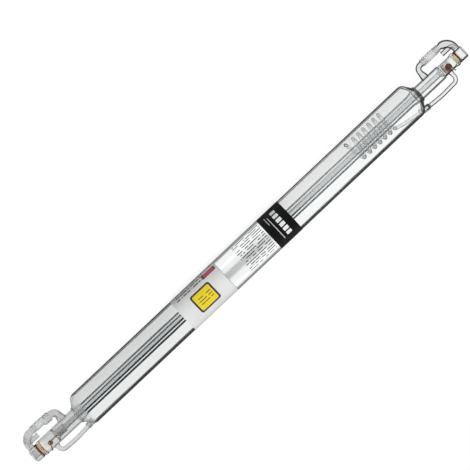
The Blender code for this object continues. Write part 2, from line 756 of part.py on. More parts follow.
def make_gas_arm(end):
    """A bent tube from the head, along beside the neck and into the boss on the shoulder."""
    z = -end.arm_offset
    boss_end = end.seam + BOSS_OUTSIDE
    middle = (end.seam + end.arm_position - ARM_BEND) / 2
    corners = [
        (middle, z - ARM_BOW),
        (end.arm_position, z),
        (end.arm_position, -(end.head_r - OVERRUN)),
    ]
    points = [boss_point(end, x) for x in (end.seam - ARM_GRIP, boss_end + ARM_WALL)]
    points += in_plane(end, [((boss_end + middle) / 2, z - ARM_BOW * ARM_BOW_SHARE)])
    points += rounded_path(in_plane(end, corners), [ARM_BEND])
    foot = points.pop()
    for rise in reversed(ROOT_HEIGHTS):
        step = foot + DOWN * (OVERRUN + rise)
        if step.z > points[-1].z + ROOT_CLEARANCE:
            points.append(step)
    points.append(foot)
    run = travelled(points)
    flare = ROOT_HEIGHTS[-1]
    flare_start = run[-1] - OVERRUN - flare
    outer = [end.arm_r + blended(d, flare_start, flare, 0.0, ARM_ROOT_FLARE) for d in run]
    inner = [end.arm_r - ARM_WALL] * len(points)
    arm = swept(f"{end.name}_gas_arm", points, outer, inner, glass, TUBE_SIDES)
    reach = end.arm_r + ARM_ROOT_FLARE + OVERRUN
    start, stop = end.arm_position - reach, end.arm_position + reach
    saddle(arm, end.head_r, end, start, stop, INNER_SEGMENTS)
    return arm


def make_spiral():
    """The coil that lengthens the gas path, led in from the rear arm and left open at its far end."""
    coil_r = (SPIRAL_OD - SPIRAL_TUBE_OD) / 2
    coil_end = REAR.seam - SPIRAL_SETBACK
    coil = []
    for k in range(round(SPIRAL_TURNS * TURN_STEPS) + 1):
        turn = k / TURN_STEPS
        angle = 2 * math.pi * turn - math.pi / 2
        drawn = SPIRAL_DRAW * max(0.0, turn - SPIRAL_TURNS + 1) ** 2
        x = coil_end - SPIRAL_PITCH * turn - drawn
        coil.append(Vector((x, coil_r * math.cos(angle), SPIRAL_RISE + coil_r * math.sin(angle))))
    inside = REAR.seam - REAR.boss_inside
    lead = [boss_point(REAR, x) for x in (REAR.seam - ARM_GRIP - GAP, inside)]
    lead.append(boss_point(REAR, coil_end + SPIRAL_LEAD))
    leaving = Vector((-SPIRAL_LEAD, 0.0, 0.0))
    arriving = (coil[1] - coil[0]).normalized() * SPIRAL_LEAD
    bridge = [hermite(lead[-1], leaving, coil[0], arriving, share) for share in BRIDGE_SHARES]
    points = lead + bridge + coil
    outer = [REAR.arm_r] + [SPIRAL_TUBE_OD / 2] * (len(points) - 1)
    inner = [r - SPIRAL_TUBE_WALL for r in outer]
    return swept("gas_return_spiral", points, outer, inner, glass, THIN_SIDES)


def hermite(start, leaving, end, arriving, share):
    """A point of the smooth curve that leaves one point and arrives at another."""
    s2, s3 = share * share, share ** 3
    return (
        start * (2 * s3 - 3 * s2 + 1)
        + leaving * (s3 - 2 * s2 + share)
        + end * (3 * s2 - 2 * s3)
        + arriving * (s3 - s2)
    )


# Electrodes

def make_electrode(end, name, start, length, outer_r):
    """A rolled metal cylinder, open at both ends."""
    inner_r = outer_r - ELECTRODE_WALL
    far = start + length
    profile = [(start, outer_r), (far, outer_r), (far, inner_r), (start, inner_r)]
    return turned(name, mirrored(end, profile), nickel, CORE_SEGMENTS)


def make_seal(end, name):
    """A glass bead fused on the head round the lead."""
    tip_r = SEAL_TIP_OD / 2
    foot = Vector((end.side * end.seal_position, 0, 0))
    sections = [(-OVERRUN, end.seal_r)]
    sections += [
        (SEAL_HEIGHT * share, tip_r + (end.seal_r - tip_r) * spread)
        for share, spread in SEAL_SECTIONS
    ]
    sections.append((SEAL_HEIGHT, tip_r * SEAL_TIP_SHARE))
    points = [foot + SEAL_DIRECTION * (end.head_r + height) for height, r in sections]
    radii = [r for height, r in sections]
    bore = [LEAD_R + GAP] * len(points)
    seal = swept(name, points, radii, bore, seal_glass, TUBE_SIDES)
    reach = end.seal_r + OVERRUN
    start, stop = end.seal_position - reach, end.seal_position + reach
    saddle(seal, end.head_r, end, start, stop, INNER_SEGMENTS)
    return seal


def make_lead(end, name, inside):
    """A wire from inside the head, out through its seal and bent over outside."""
    beam = Vector((end.side, 0.0, 0.0))
    base = beam * end.seal_position
    bend = base + SEAL_DIRECTION * (end.head_r + SEAL_HEIGHT + LEAD_STANDOUT)
    tip = bend + (DOWN + beam * LEAD_LEAN).normalized() * LEAD_TAIL
    corners = inside + [bend, tip]
    points = rounded_path(corners, [LEAD_BEND] * (len(corners) - 2))
    return swept(name, points, [LEAD_R] * len(points), None, tungsten, THIN_SIDES)


def make_cathode_lead():
    """The cathode's wire lies along the inside of its cylinder."""
    beam = Vector((OUTPUT.side, 0.0, 0.0))
    along = SEAL_DIRECTION * (CATHODE_OD / 2 - ELECTRODE_WALL - GAP - LEAD_R)
    start = beam * (CATHODE_START + CATHODE_LENGTH * CATHODE_LEAD_START) + along
    knee = beam * OUTPUT.seal_position + along
    return make_lead(OUTPUT, "cathode_lead", [start, knee])


def make_anode_lead():
    """The anode's wire ends on the side of its cylinder."""
    start = Vector((REAR.seal_position, 0.0, 0.0)) + SEAL_DIRECTION * (ANODE_OD / 2 + GAP)
    return make_lead(REAR, "anode_lead", [start])


# Labels

def make_label(name, start, width, material):
    """A thin wrap round the reservoir whose ends nearly meet on the far side."""
    slit = math.radians(LABEL_SLIT)
    segment = 2 * math.pi / BODY_SEGMENTS
    steps = BODY_SEGMENTS - round(slit / segment)
    first = FLOOR_DIRECTION + segment / 2
    far_side = round(-first / segment) * segment + first
    bm = bmesh.new()
    direction = Vector((0, math.cos(far_side), math.sin(far_side)))
    corners = [
        Vector((x * MM, 0, 0)) + direction * (r * MM)
        for x, r in (
            (start, LABEL_INNER_R),
            (start, LABEL_OUTER_R),
            (start + width, LABEL_OUTER_R),
            (start + width, LABEL_INNER_R),
        )
    ]
    face = bm.faces.new([bm.verts.new(corner) for corner in corners])
    bmesh.ops.spin(
        bm,
        geom=[face],
        cent=(0, 0, 0),
        axis=(1, 0, 0),
        angle=steps * segment,
        steps=steps,
        use_duplicate=False,
    )
    return finished(name, bm, material)


for old in list(bpy.data.objects):
    bpy.data.objects.remove(old)

resting = bpy.data.objects.new("resting", None)
bpy.context.scene.collection.objects.link(resting)
resting.rotation_euler = (math.pi + HOSE_LEAN, 0, 0)

glass = make_material("borosilicate_glass", (0.90, 0.94, 0.94), 0.02, transmission=1.0)
silicone = make_material("silicone", (0.80, 0.82, 0.82), 0.35, transmission=0.7)
nickel = make_material("nickel", (0.62, 0.57, 0.50), 0.35, metallic=1.0)
tungsten = make_material("tungsten", (0.22, 0.16, 0.12), 0.45, metallic=0.9)
seal_glass = make_material("seal_glass", (0.55, 0.25, 0.08), 0.15)
glue = make_material("epoxy", (0.80, 0.62, 0.35), 0.30)
zinc_selenide = make_material("zinc_selenide", (0.75, 0.25, 0.05), 0.05)
gold = make_material("gold_coating", (0.90, 0.65, 0.25), 0.12, metallic=1.0)
white_vinyl = make_material("white_vinyl", (0.88, 0.89, 0.88), 0.45)
silver_foil = make_material("silver_foil", (0.72, 0.73, 0.74), 0.25, metallic=1.0)
black_vinyl = make_material("black_vinyl", (0.02, 0.02, 0.022), 0.35)

make_reservoir()
make_jacket()
make_discharge_tube()
make_spiral()
make_output_cap()
make_rear_cap()
make_mirror(OUTPUT, "output_coupler", zinc_selenide)
make_mirror(REAR, "rear_mirror", gold)
for end in (OUTPUT, REAR):
    make_head(end)
    make_neck_elbow(end)
    make_hose(end)
    make_cap_elbow(end)
    make_nozzle(end)
    make_gas_arm(end)
    seat_r = end.flange_r - SEAT_WIDTH
    make_bond(end, f"{end.name}_mirror_bond", MIRROR_BOND_FACE, seat_r, end.mirror_r + BOND_PROUD)
    rim_r = end.cap_r - CAP_WALL
    rim_outer = max(end.cap_r, end.mirror_r) + BOND_PROUD
    make_bond(end, f"{end.name}_cap_bond", CAP_BOND_FACE, rim_r, rim_outer)
make_bond(
    OUTPUT, "beam_tube_bond", CAP_BOND_FACE, BEAM_BORE / 2, BEAM_BORE / 2 + BEAM_TUBE_WALL
)
make_electrode(OUTPUT, "cathode_cylinder", CATHODE_START, CATHODE_LENGTH, CATHODE_OD / 2)
make_electrode(REAR, "anode_cylinder", ANODE_START, ANODE_LENGTH, ANODE_OD / 2)
make_seal(OUTPUT, "cathode_seal")
make_seal(REAR, "anode_seal")
make_cathode_lead()
make_anode_lead()
silver_start = WHITE_LABEL_START + WHITE_LABEL_WIDTH + LABEL_SPACING
black_start = silver_start + SILVER_LABEL_WIDTH + LABEL_SPACING
make_label("white_label", WHITE_LABEL_START, WHITE_LABEL_WIDTH, white_vinyl)
make_label("silver_label", silver_start, SILVER_LABEL_WIDTH, silver_foil)
make_label("black_label", black_start, BLACK_LABEL_WIDTH, black_vinyl)
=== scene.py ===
# %% [markdown]
# # A sealed glass CO2 laser tube
# The tube is a metre of clear lab glass. Three glass tubes share one middle line: a wide gas reservoir,
# a water jacket inside it and a narrow discharge tube in the very middle. Each end has a glass head
# with a metal electrode, a mirror and a water cap. Almost everything is clear, so this lesson is
# mostly about two things: thin, exact glass shapes, and light that makes clear glass readable.
#
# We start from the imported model. It fixes every size and place, and our smooth pieces stand for its
# faceted ones.

import math
from types import SimpleNamespace

import bmesh
import bpy
import numpy as np
from mathutils import Matrix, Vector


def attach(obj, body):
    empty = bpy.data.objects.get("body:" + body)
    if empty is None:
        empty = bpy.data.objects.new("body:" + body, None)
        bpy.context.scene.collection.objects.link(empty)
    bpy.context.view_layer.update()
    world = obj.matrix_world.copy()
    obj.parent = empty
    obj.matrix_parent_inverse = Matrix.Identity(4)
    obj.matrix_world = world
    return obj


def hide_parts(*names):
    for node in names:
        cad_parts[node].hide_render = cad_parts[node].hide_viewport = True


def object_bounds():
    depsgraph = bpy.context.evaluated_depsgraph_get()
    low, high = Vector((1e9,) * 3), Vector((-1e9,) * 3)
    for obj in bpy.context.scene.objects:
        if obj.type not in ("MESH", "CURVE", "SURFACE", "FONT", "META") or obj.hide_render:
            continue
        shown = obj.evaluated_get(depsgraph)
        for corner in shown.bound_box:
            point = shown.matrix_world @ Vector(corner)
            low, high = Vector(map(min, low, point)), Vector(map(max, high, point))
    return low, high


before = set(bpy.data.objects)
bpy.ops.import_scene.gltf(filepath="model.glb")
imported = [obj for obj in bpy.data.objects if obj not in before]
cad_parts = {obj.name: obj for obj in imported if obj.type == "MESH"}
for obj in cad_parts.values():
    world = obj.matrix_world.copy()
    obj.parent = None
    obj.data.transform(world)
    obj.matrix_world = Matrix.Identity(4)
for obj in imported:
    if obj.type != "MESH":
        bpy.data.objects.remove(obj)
CAD_BOX = [[float(v) for v in corner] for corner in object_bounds()]
MM = 0.001
print("nodes in the model:", len(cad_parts), "box:", CAD_BOX)

# %% [markdown]
# ## Sizes
# A scene that repeats a model's sizes has to repeat them exactly, so they stand here once, in
# millimetres. Distances along the beam are measured from the middle of the tube outwards, because
# both ends are built by the same functions. Each place is worked out from its neighbour's, from the
# ends inwards.

# %% Sizes of the three glass tubes
HALF = 500.0
GAP = 0.3
RESERVOIR_R = 32.0
RESERVOIR_WALL = 2.4
SHOULDER_ANGLE = 55.0
SHOULDER_ROUND = 12.0
LIP_LENGTH = 3.0
LIP_WALL = 1.9
JACKET_R = 10.5
JACKET_WALL = 1.5
NECK_TAPER = 20.0
DISCHARGE_R = 5.1
DISCHARGE_WALL = 1.5
FLANGE = 1.4
print(f"reservoir {2 * RESERVOIR_R} mm, jacket {2 * JACKET_R} mm, bore tube {2 * DISCHARGE_R} mm wide")

# %% Sizes of the heads, the mirrors and the caps
HEAD_LENGTH = 33.3
HEAD_WALL = 1.6
SEAT_DEPTH = 4.0
SEAT_WIDTH = 3.8
SEAT_BLEND = 5.0
MIRROR_THICKNESS = 3.0
BOND_THICKNESS = 0.6
BOND_PROUD = 0.4
CAP_LENGTH = 14.0
CAP_WALL = 1.6
BEAM_R = 6.0
BEAM_TUBE_WALL = 1.4
print(f"heads {HEAD_LENGTH} mm long, caps {CAP_LENGTH} mm, beam opening {2 * BEAM_R} mm wide")

# %% Sizes of the water fittings
HOSE_OFFSET = 33.6
HOSE_WALL = 1.5
HOSE_SWELL = 3.5
SPIGOT_WALL = 1.3
SPIGOT_GRIP = 10.0
CAP_SPIGOT_R = 5.0
NECK_ELBOW_SETBACK = 26.4
NECK_ELBOW_BEND = 9.0
NECK_ELBOW_STRAIGHT = 3.0
NECK_ELBOW_FLARE = 2.0
CAP_ELBOW_R = 7.1
CAP_ELBOW_FOOT_R = 6.2
CAP_ELBOW_BEND = 19.0
CAP_ELBOW_STRAIGHT = 1.5
CAP_ELBOW_SETBACK = 7.6
NOZZLE_R = 4.3
NOZZLE_BORE_R = 3.1
NOZZLE_OFFSET = 21.4
NOZZLE_LENGTH = 19.3
NOZZLE_BEND = 5.0
NOZZLE_DIP = 12.6
DIP_R = 3.2
print(f"hoses {HOSE_OFFSET} mm from the beam, nozzles {2 * NOZZLE_R} mm wide")

# %% Sizes of the gas arms, the wires and the labels
ARM_WALL = 1.3
ARM_BEND = 9.0
ARM_BOW = 1.5
ARM_GRIP = 6.0
ARM_ROOT_FLARE = 1.2
BOSS_WALL = 1.6
BOSS_OUTSIDE = 1.0
BOSS_DROP = 0.8
BOSS_SLOPE = 0.13
LEAD_R = 1.0
LABEL_THICKNESS = 0.25
FACETS = 36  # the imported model's labels have this many flat sides
print(f"arms' walls {ARM_WALL} mm, wires {2 * LEAD_R} mm thick")

# %% Places along the beam, from the ends inwards
CAP_RIM = HALF - CAP_LENGTH
CAP_BOND = CAP_RIM - GAP - BOND_THICKNESS
MIRROR_FACE = CAP_BOND - GAP - MIRROR_THICKNESS
MIRROR_BOND = MIRROR_FACE - GAP - BOND_THICKNESS
HEAD_END = MIRROR_BOND - GAP
HEAD_START = HEAD_END - HEAD_LENGTH
RING_SEAL = HEAD_START - GAP
NECK_ELBOW = RING_SEAL - NECK_ELBOW_SETBACK
CAP_LEG = HALF - CAP_ELBOW_SETBACK
HOSE_START = NECK_ELBOW + NECK_ELBOW_BEND + NECK_ELBOW_STRAIGHT
HOSE_END = CAP_LEG - CAP_ELBOW_BEND - CAP_ELBOW_STRAIGHT - GAP
NOZZLE_ROOT = CAP_LEG - CAP_ELBOW_FOOT_R + SPIGOT_WALL
NOZZLE_MOUTH = NOZZLE_ROOT - NOZZLE_LENGTH
LABEL_OUTER_R = RESERVOIR_R + GAP + LABEL_THICKNESS
HOSE_R = CAP_SPIGOT_R + GAP + HOSE_WALL
print(f"ring seals at {RING_SEAL:.1f} mm, hoses from {HOSE_START:.1f} to {HOSE_END:.1f} mm")

# %% What differs between the output end and the rear end
OUTPUT = SimpleNamespace(
    name="output", side=-1, seam=RING_SEAL - 51.0, neck_r=14.0, spigot_r=6.6, head_r=14.0,
    flange_r=14.0, mirror_r=12.7, cap_r=13.4, cap_round=5.0, arm_r=4.1, arm_offset=26.8,
    arm=RING_SEAL + 10.0, boss_inside=13.0, seal_r=4.5, seal=RING_SEAL + 13.3,
)
REAR = SimpleNamespace(
    name="rear", side=1, seam=RING_SEAL - 55.0, neck_r=13.0, spigot_r=5.0, head_r=11.2,
    flange_r=12.7, mirror_r=11.5, cap_r=11.4, cap_round=1.8, arm_r=3.9, arm_offset=28.2,
    arm=RING_SEAL + 11.6, boss_inside=19.0, seal_r=6.5, seal=RING_SEAL + 13.2,
)
ENDS = (OUTPUT, REAR)
BEAM = np.array([1.0, 0.0, 0.0])
HOSE_SIDE = np.array([0.0, 0.0, 1.0])
ARM_SIDE = -HOSE_SIDE
SEAL_ANGLE = math.radians(14.0)
SEAL_SIDE = np.array([0.0, -math.cos(SEAL_ANGLE), -math.sin(SEAL_ANGLE)])
print("shoulder seams:", OUTPUT.seam, REAR.seam)

# %% [markdown]
# ## Lying at rest
# The sizes above are in the tube's own directions: x along the beam, z towards the hoses. On a table
# the tube rolls until its labels and its two hoses touch the table together. That roll is a turn
# about the beam, so one small matrix places every point.

# %% The roll, and points placed on the table
LABEL_FLAT = LABEL_OUTER_R * math.cos(math.pi / FACETS)
LEAN = math.acos((LABEL_FLAT - HOSE_R) / HOSE_OFFSET)
ROLL = math.pi + LEAN
TURN = np.array([
    [1.0, 0.0, 0.0],
    [0.0, math.cos(ROLL), -math.sin(ROLL)],
    [0.0, math.sin(ROLL), math.cos(ROLL)],
])


def placed(points):
    """Points in the tube's own directions and millimetres, rolled to rest and given in metres."""
    return np.asarray(points) @ TURN.T * MM


print(f"the tube is rolled by {math.degrees(ROLL):.1f} degrees")

# %% [markdown]
# ## The camera
# The photograph looks at the tube from straight across its beam, with the tube lying from the lower
# left to the upper right. A long lens from 3.3 m gives the slight curve that the round rims show.
# We build the camera from three directions: where it stands, its right and its up.

# %% Camera
TILT = math.radians(43.28)
VIEW_WIDTH = 0.7935
DISTANCE = 3.306
SENSOR = 36.0
AIM_RIGHT = -0.02296  # the picture's middle, seen from the tube's middle
AIM_UP = 0.0317
FRONT = TURN @ np.array([0.0, -1.0, 0.0])
TO_HOSES = TURN @ HOSE_SIDE
RIGHT = math.cos(TILT) * BEAM - math.sin(TILT) * TO_HOSES
UP = math.sin(TILT) * BEAM + math.cos(TILT) * TO_HOSES
CAMERA_PLACE = AIM_RIGHT * RIGHT + AIM_UP * UP + DISTANCE * FRONT


def standing(right, up, back, place):
    """The matrix of a thing at a place, whose columns are its right, its up and its back."""
    pose = np.eye(4)
    pose[:3, 0], pose[:3, 1], pose[:3, 2], pose[:3, 3] = right, up, back, place
    return Matrix(pose)


camera = bpy.data.objects.new("camera", bpy.data.cameras.new("camera"))
camera.data.sensor_width = SENSOR
camera.data.lens = SENSOR * DISTANCE / VIEW_WIDTH
camera.data.clip_end = 20.0
camera.matrix_world = standing(RIGHT, UP, FRONT, CAMERA_PLACE)
bpy.context.scene.collection.objects.link(camera)
bpy.context.scene.camera = camera
print(f"lens {camera.data.lens:.0f} mm, camera at {np.round(CAMERA_PLACE, 3)}")

# %% [markdown]
# ## The table, the sky and the lamps
# Clear glass shows nothing but what is around it. A bright field is the classic way to photograph it:
# a white table and a white background, and darker surroundings further out. The middle of each tube
# then looks through to the white, and its edges bend the view into the dark and draw the outline.
# The camera sees the table as white. Mirrors and glass see it white too, but with painted shade:
# a dark strip under the tube, a darker far side and left side, and a painted strip of light.
# Only plain lamps light it, so it still takes the tube's soft shadow.
#
# Every material here is a tree of nodes. A few helpers keep that short: each makes one kind of node
# and hands back the output that the next one needs.

# %% Small helpers for materials
def new_material(name):
    """An empty node material and its tree."""
    material = bpy.data.materials.new(name)
    material.use_nodes = True
    material.node_tree.nodes.clear()
    return material, material.node_tree


def feed(tree, socket, value):
    """Joins an input to another node's output, or sets it; a colour is given as three numbers."""
    if isinstance(value, bpy.types.NodeSocket):
        tree.links.new(value, socket)
    elif socket.type == "RGBA":
        socket.default_value = (*value, 1.0)
    else:
        socket.default_value = value


def node(tree, kind, inputs=None, **settings):
    """A node with its settings and its inputs."""
    made = tree.nodes.new(kind)
    for key, value in settings.items():
        setattr(made, key, value)
    for key, value in (inputs or {}).items():
        feed(tree, made.inputs[key], value)
    return made


def finished(tree, shader, kind="ShaderNodeOutputMaterial"):
    """Joins the last shader to the tree's output."""
    node(tree, kind, {"Surface": shader.outputs[0]})


def grey(value):
    """A colour with no hue."""
    return (value, value, value)


def darker(colour, share):
    """The colour with only this share of its light."""
    return tuple(v * share for v in colour)


WHITE = grey(1.0)
print("helpers for nodes are ready")

# %% Arithmetic, directions and rays in a node tree
def calc(tree, operation, *values, clamp=False):
    """Arithmetic with Math nodes: one step for two values, and one more for each further value."""
    pair = dict(enumerate(values[:2]))
    result = node(tree, "ShaderNodeMath", pair, operation=operation, use_clamp=clamp).outputs[0]
    return calc(tree, operation, result, *values[2:]) if values[2:] else result


def ease(tree, value, low, high, to_low=0.0, to_high=1.0):
    """A smooth change from to_low to to_high while the value goes from low to high."""
    inputs = {0: value, 1: low, 2: high, 3: to_low, 4: to_high}
    made = node(tree, "ShaderNodeMapRange", inputs, interpolation_type="SMOOTHSTEP")
    return made.outputs[0]


def near(tree, value, middle, limits):
    """1 close to the middle and 0 far from it; the limits are how far off it is 0, then how far 1."""
    return ease(tree, calc(tree, "ABSOLUTE", calc(tree, "SUBTRACT", value, middle)), *limits)


def strip(tree, value, one_side, other_side):
    """1 in a strip and 0 outside it; each side is a pair, where the change begins and where it ends."""
    return calc(tree, "MINIMUM", ease(tree, value, *one_side), ease(tree, value, *other_side))


def dimmed(tree, value, share, depth):
    """The value times 1 - share * depth."""
    left = calc(tree, "SUBTRACT", 1.0, calc(tree, "MULTIPLY", share, depth))
    return calc(tree, "MULTIPLY", value, left)


def mixed(tree, share, first, second):
    """A colour between two colours; each may be a socket or three numbers."""
    made = node(tree, "ShaderNodeMix", {"Factor": share, 6: first, 7: second}, data_type="RGBA")
    return made.outputs[2]


def dot(tree, vector, direction):
    """How far a vector reaches in a fixed direction."""
    inputs = {0: vector, 1: tuple(direction)}
    return node(tree, "ShaderNodeVectorMath", inputs, operation="DOT_PRODUCT").outputs["Value"]


def place_in(tree):
    """The place on the piece in metres. Every piece has its origin at the tube's middle."""
    return node(tree, "ShaderNodeTexCoord").outputs["Object"]


def ray_kinds(tree):
    """Whether a ray is the camera's, came off a mirror, or is one of these or came through glass."""
    path = node(tree, "ShaderNodeLightPath").outputs
    mirror = calc(tree, "MULTIPLY", path["Is Glossy Ray"], path["Is Reflection Ray"])
    shown = calc(tree, "MAXIMUM", path["Is Camera Ray"], mirror, path["Is Transmission Ray"])
    return path["Is Camera Ray"], mirror, shown


print("helpers for arithmetic are ready")

# %% Sky: white for the camera, a bright room with dark parts for glass and metal
SKY_LIGHT = 0.55
SKY_DARK = (0.10, 0.11, 0.115)
SKY_HIGH = (0.05, 0.25)  # in a pair the change begins at the first number and is full at the second
SKY_LOW = (-0.10, -0.30)
SKY_ENDS = (0.70, 0.50)  # straight along the beam there is nothing dark
ROOM_LIGHT = grey(0.97)
ROOM_DARK = (0.26, 0.26, 0.265)
DARK_WALL = ((-42.0, -24.0), (16.0, 4.0))  # degrees: 0 is towards the camera, 90 to the hoses
DARK_HALF = (0.012, -0.012)
DARK_BACK = (-116.0, -124.0)
LIGHT_BAR = 1.3
LIGHT_BAR_TURN = -89.0
LIGHT_BAR_EDGE = (12.0, 6.0)

world = bpy.data.worlds.new("studio")
bpy.context.scene.world = world
world.use_nodes = True
tree = world.node_tree
tree.nodes.clear()
camera_ray, mirror_ray, shown = ray_kinds(tree)
direction = node(tree, "ShaderNodeTexCoord").outputs["Generated"]
split = node(tree, "ShaderNodeSeparateXYZ", {0: direction}).outputs
off_ends = near(tree, split["X"], 0.0, SKY_ENDS)
off_white = calc(tree, "MAXIMUM", ease(tree, split["Z"], *SKY_HIGH), ease(tree, split["Z"], *SKY_LOW))
through_glass = mixed(tree, calc(tree, "MULTIPLY", off_white, off_ends), WHITE, SKY_DARK)
turn = calc(tree, "ARCTAN2", dot(tree, direction, TO_HOSES), dot(tree, direction, FRONT))
turn = calc(tree, "MULTIPLY", turn, 180.0 / math.pi)
dark = calc(tree, "MULTIPLY", strip(tree, turn, *DARK_WALL), ease(tree, split["X"], *DARK_HALF))
dark = calc(tree, "MAXIMUM", dark, ease(tree, turn, *DARK_BACK))
in_mirror = mixed(tree, calc(tree, "MULTIPLY", dark, off_ends), ROOM_LIGHT, ROOM_DARK)
bar = near(tree, turn, LIGHT_BAR_TURN, LIGHT_BAR_EDGE)
in_mirror = mixed(tree, bar, in_mirror, grey(LIGHT_BAR))
seen = mixed(tree, mirror_ray, through_glass, in_mirror)
seen = mixed(tree, camera_ray, seen, WHITE)
colour = mixed(tree, shown, grey(SKY_LIGHT), seen)
sky = node(tree, "ShaderNodeBackground", {"Color": colour, "Strength": 1.0})
finished(tree, sky, "ShaderNodeOutputWorld")
print("sky nodes:", len(tree.nodes))

# %% Table
TABLE_SIZE = 1.3
TABLE_GAP = 0.0002
TABLE_GLOW = 0.85
TABLE_PAINT = grey(0.22)
# painted shadow: glass and mirrors see the table darker in a strip under the tube
PAINTED_SHADOW_MIDDLE = 0.006
PAINTED_SHADOW_EDGE = (0.038, 0.026)  # the table is darker in a strip under the tube
PAINTED_SHADOW_MIRRORED = 0.85
PAINTED_SHADOW_THROUGH = 0.12
# painted shade: glass and mirrors see the table darker on its far side
PAINTED_FAR_SHADE_EDGE = (-0.10, -0.26)  # and on its far side
PAINTED_FAR_SHADE_MIRRORED = (-0.03, -0.06)
PAINTED_FAR_SHADE = 0.9
# painted shade: and a little darker towards the left
PAINTED_LEFT_SHADE_EDGE = (0.05, -0.25)  # and a little to the left
PAINTED_LEFT_SHADE = 0.16
# a painted strip of light on the table, which only mirrors see
PAINTED_LIGHT_STRIP = ((0.11, 0.17), (0.50, 0.32))

table_material, tree = new_material("table")
camera_ray, mirror_ray, shown = ray_kinds(tree)
spot = node(tree, "ShaderNodeSeparateXYZ", {0: place_in(tree)}).outputs
# painted shadow: the glow is dimmed in a strip under the tube, more for mirrors than for glass
depth = calc(tree, "MULTIPLY", mirror_ray, PAINTED_SHADOW_MIRRORED - PAINTED_SHADOW_THROUGH)
depth = calc(tree, "ADD", PAINTED_SHADOW_THROUGH, depth)
kept = dimmed(tree, 1.0, near(tree, spot["Y"], PAINTED_SHADOW_MIDDLE, PAINTED_SHADOW_EDGE), depth)
# painted shade: the far side is dimmed, for mirrors from nearer in, and the left side a little
far = calc(tree, "MULTIPLY", ease(tree, spot["Y"], *PAINTED_FAR_SHADE_MIRRORED), mirror_ray)
far = calc(tree, "MAXIMUM", ease(tree, spot["Y"], *PAINTED_FAR_SHADE_EDGE), far)
kept = dimmed(tree, kept, far, PAINTED_FAR_SHADE)
kept = dimmed(tree, kept, ease(tree, spot["X"], *PAINTED_LEFT_SHADE_EDGE), PAINTED_LEFT_SHADE)
# painted light: the strip glows brighter for mirror rays
bar = calc(tree, "MULTIPLY", strip(tree, spot["Y"], *PAINTED_LIGHT_STRIP), mirror_ray, LIGHT_BAR - 1.0)
kept = calc(tree, "MAXIMUM", calc(tree, "ADD", kept, bar), camera_ray)
strength = calc(tree, "MULTIPLY", shown, TABLE_GLOW, kept)
glow = node(tree, "ShaderNodeEmission", {"Color": WHITE, "Strength": strength})
paint = node(tree, "ShaderNodeBsdfDiffuse", {"Color": TABLE_PAINT})
finished(tree, node(tree, "ShaderNodeAddShader", {0: glow.outputs[0], 1: paint.outputs[0]}))

corners = np.array([[-1, -1, 0], [1, -1, 0], [1, 1, 0], [-1, 1, 0]], float) * TABLE_SIZE
corners[:, 2] = CAD_BOX[0][2] - TABLE_GAP
mesh = bpy.data.meshes.new("table")
mesh.from_pydata(corners.tolist(), [], [(0, 1, 2, 3)])
mesh.materials.append(table_material)
table = bpy.data.objects.new("table", mesh)
bpy.context.scene.collection.objects.link(table)
print(f"the table stands at {corners[0, 2] / MM:.2f} mm")

# %% Lamps
LAMPS = {  # name: (direction towards the lamp, distance in metres, size in metres, watts)
    "key": ((-0.35, 0.55, 0.76), 2.2, 1.2, 18.0),
    "fill": ((0.60, 0.35, 0.72), 2.4, 1.4, 10.0),
}
for name, (towards, distance, size, watts) in LAMPS.items():
    towards = np.array(towards) / np.linalg.norm(towards)
    lamp = bpy.data.lights.new(name, "AREA")
    lamp.size = size
    lamp.energy = watts
    holder = bpy.data.objects.new(name, lamp)
    holder.visible_glossy = False
    holder.visible_transmission = False
    side = np.cross([0.0, 0.0, 1.0], towards)
    side /= np.linalg.norm(side)
    holder.matrix_world = standing(side, np.cross(towards, side), towards, distance * towards)
    bpy.context.scene.collection.objects.link(holder)
print("lamps:", ", ".join(LAMPS))

# %% Light paths: a ray crosses up to a dozen glass walls here, each with two skins
bpy.context.scene.view_settings.view_transform = "Standard"
bpy.context.scene.cycles.max_bounces = 40
bpy.context.scene.cycles.transmission_bounces = 36
bpy.context.scene.cycles.glossy_bounces = 8
bpy.context.scene.cycles.transparent_max_bounces = 40
print("bounces:", bpy.context.scene.cycles.max_bounces)

# %% [markdown]
# ## Shapes from grids of points
# Every piece here is a profile carried along a path: lathe work when the path is straight, bent
# tubing when it is not. The profile is a closed line of (distance along the path, radius) pairs, so
# one function makes a thick-walled tube with its inside, its outside and its fire-polished rims.
# All points are worked out at once as numpy arrays.

# %% Rounded lines
def unit(vectors):
    """The same directions with length 1."""
    vectors = np.asarray(vectors, float)
    return vectors / np.linalg.norm(vectors, axis=-1, keepdims=True)


LEAD_OF_ARC = 0.35
LEAD_OF_SPARE = 0.3
SHORTEST_LEAD = 0.02


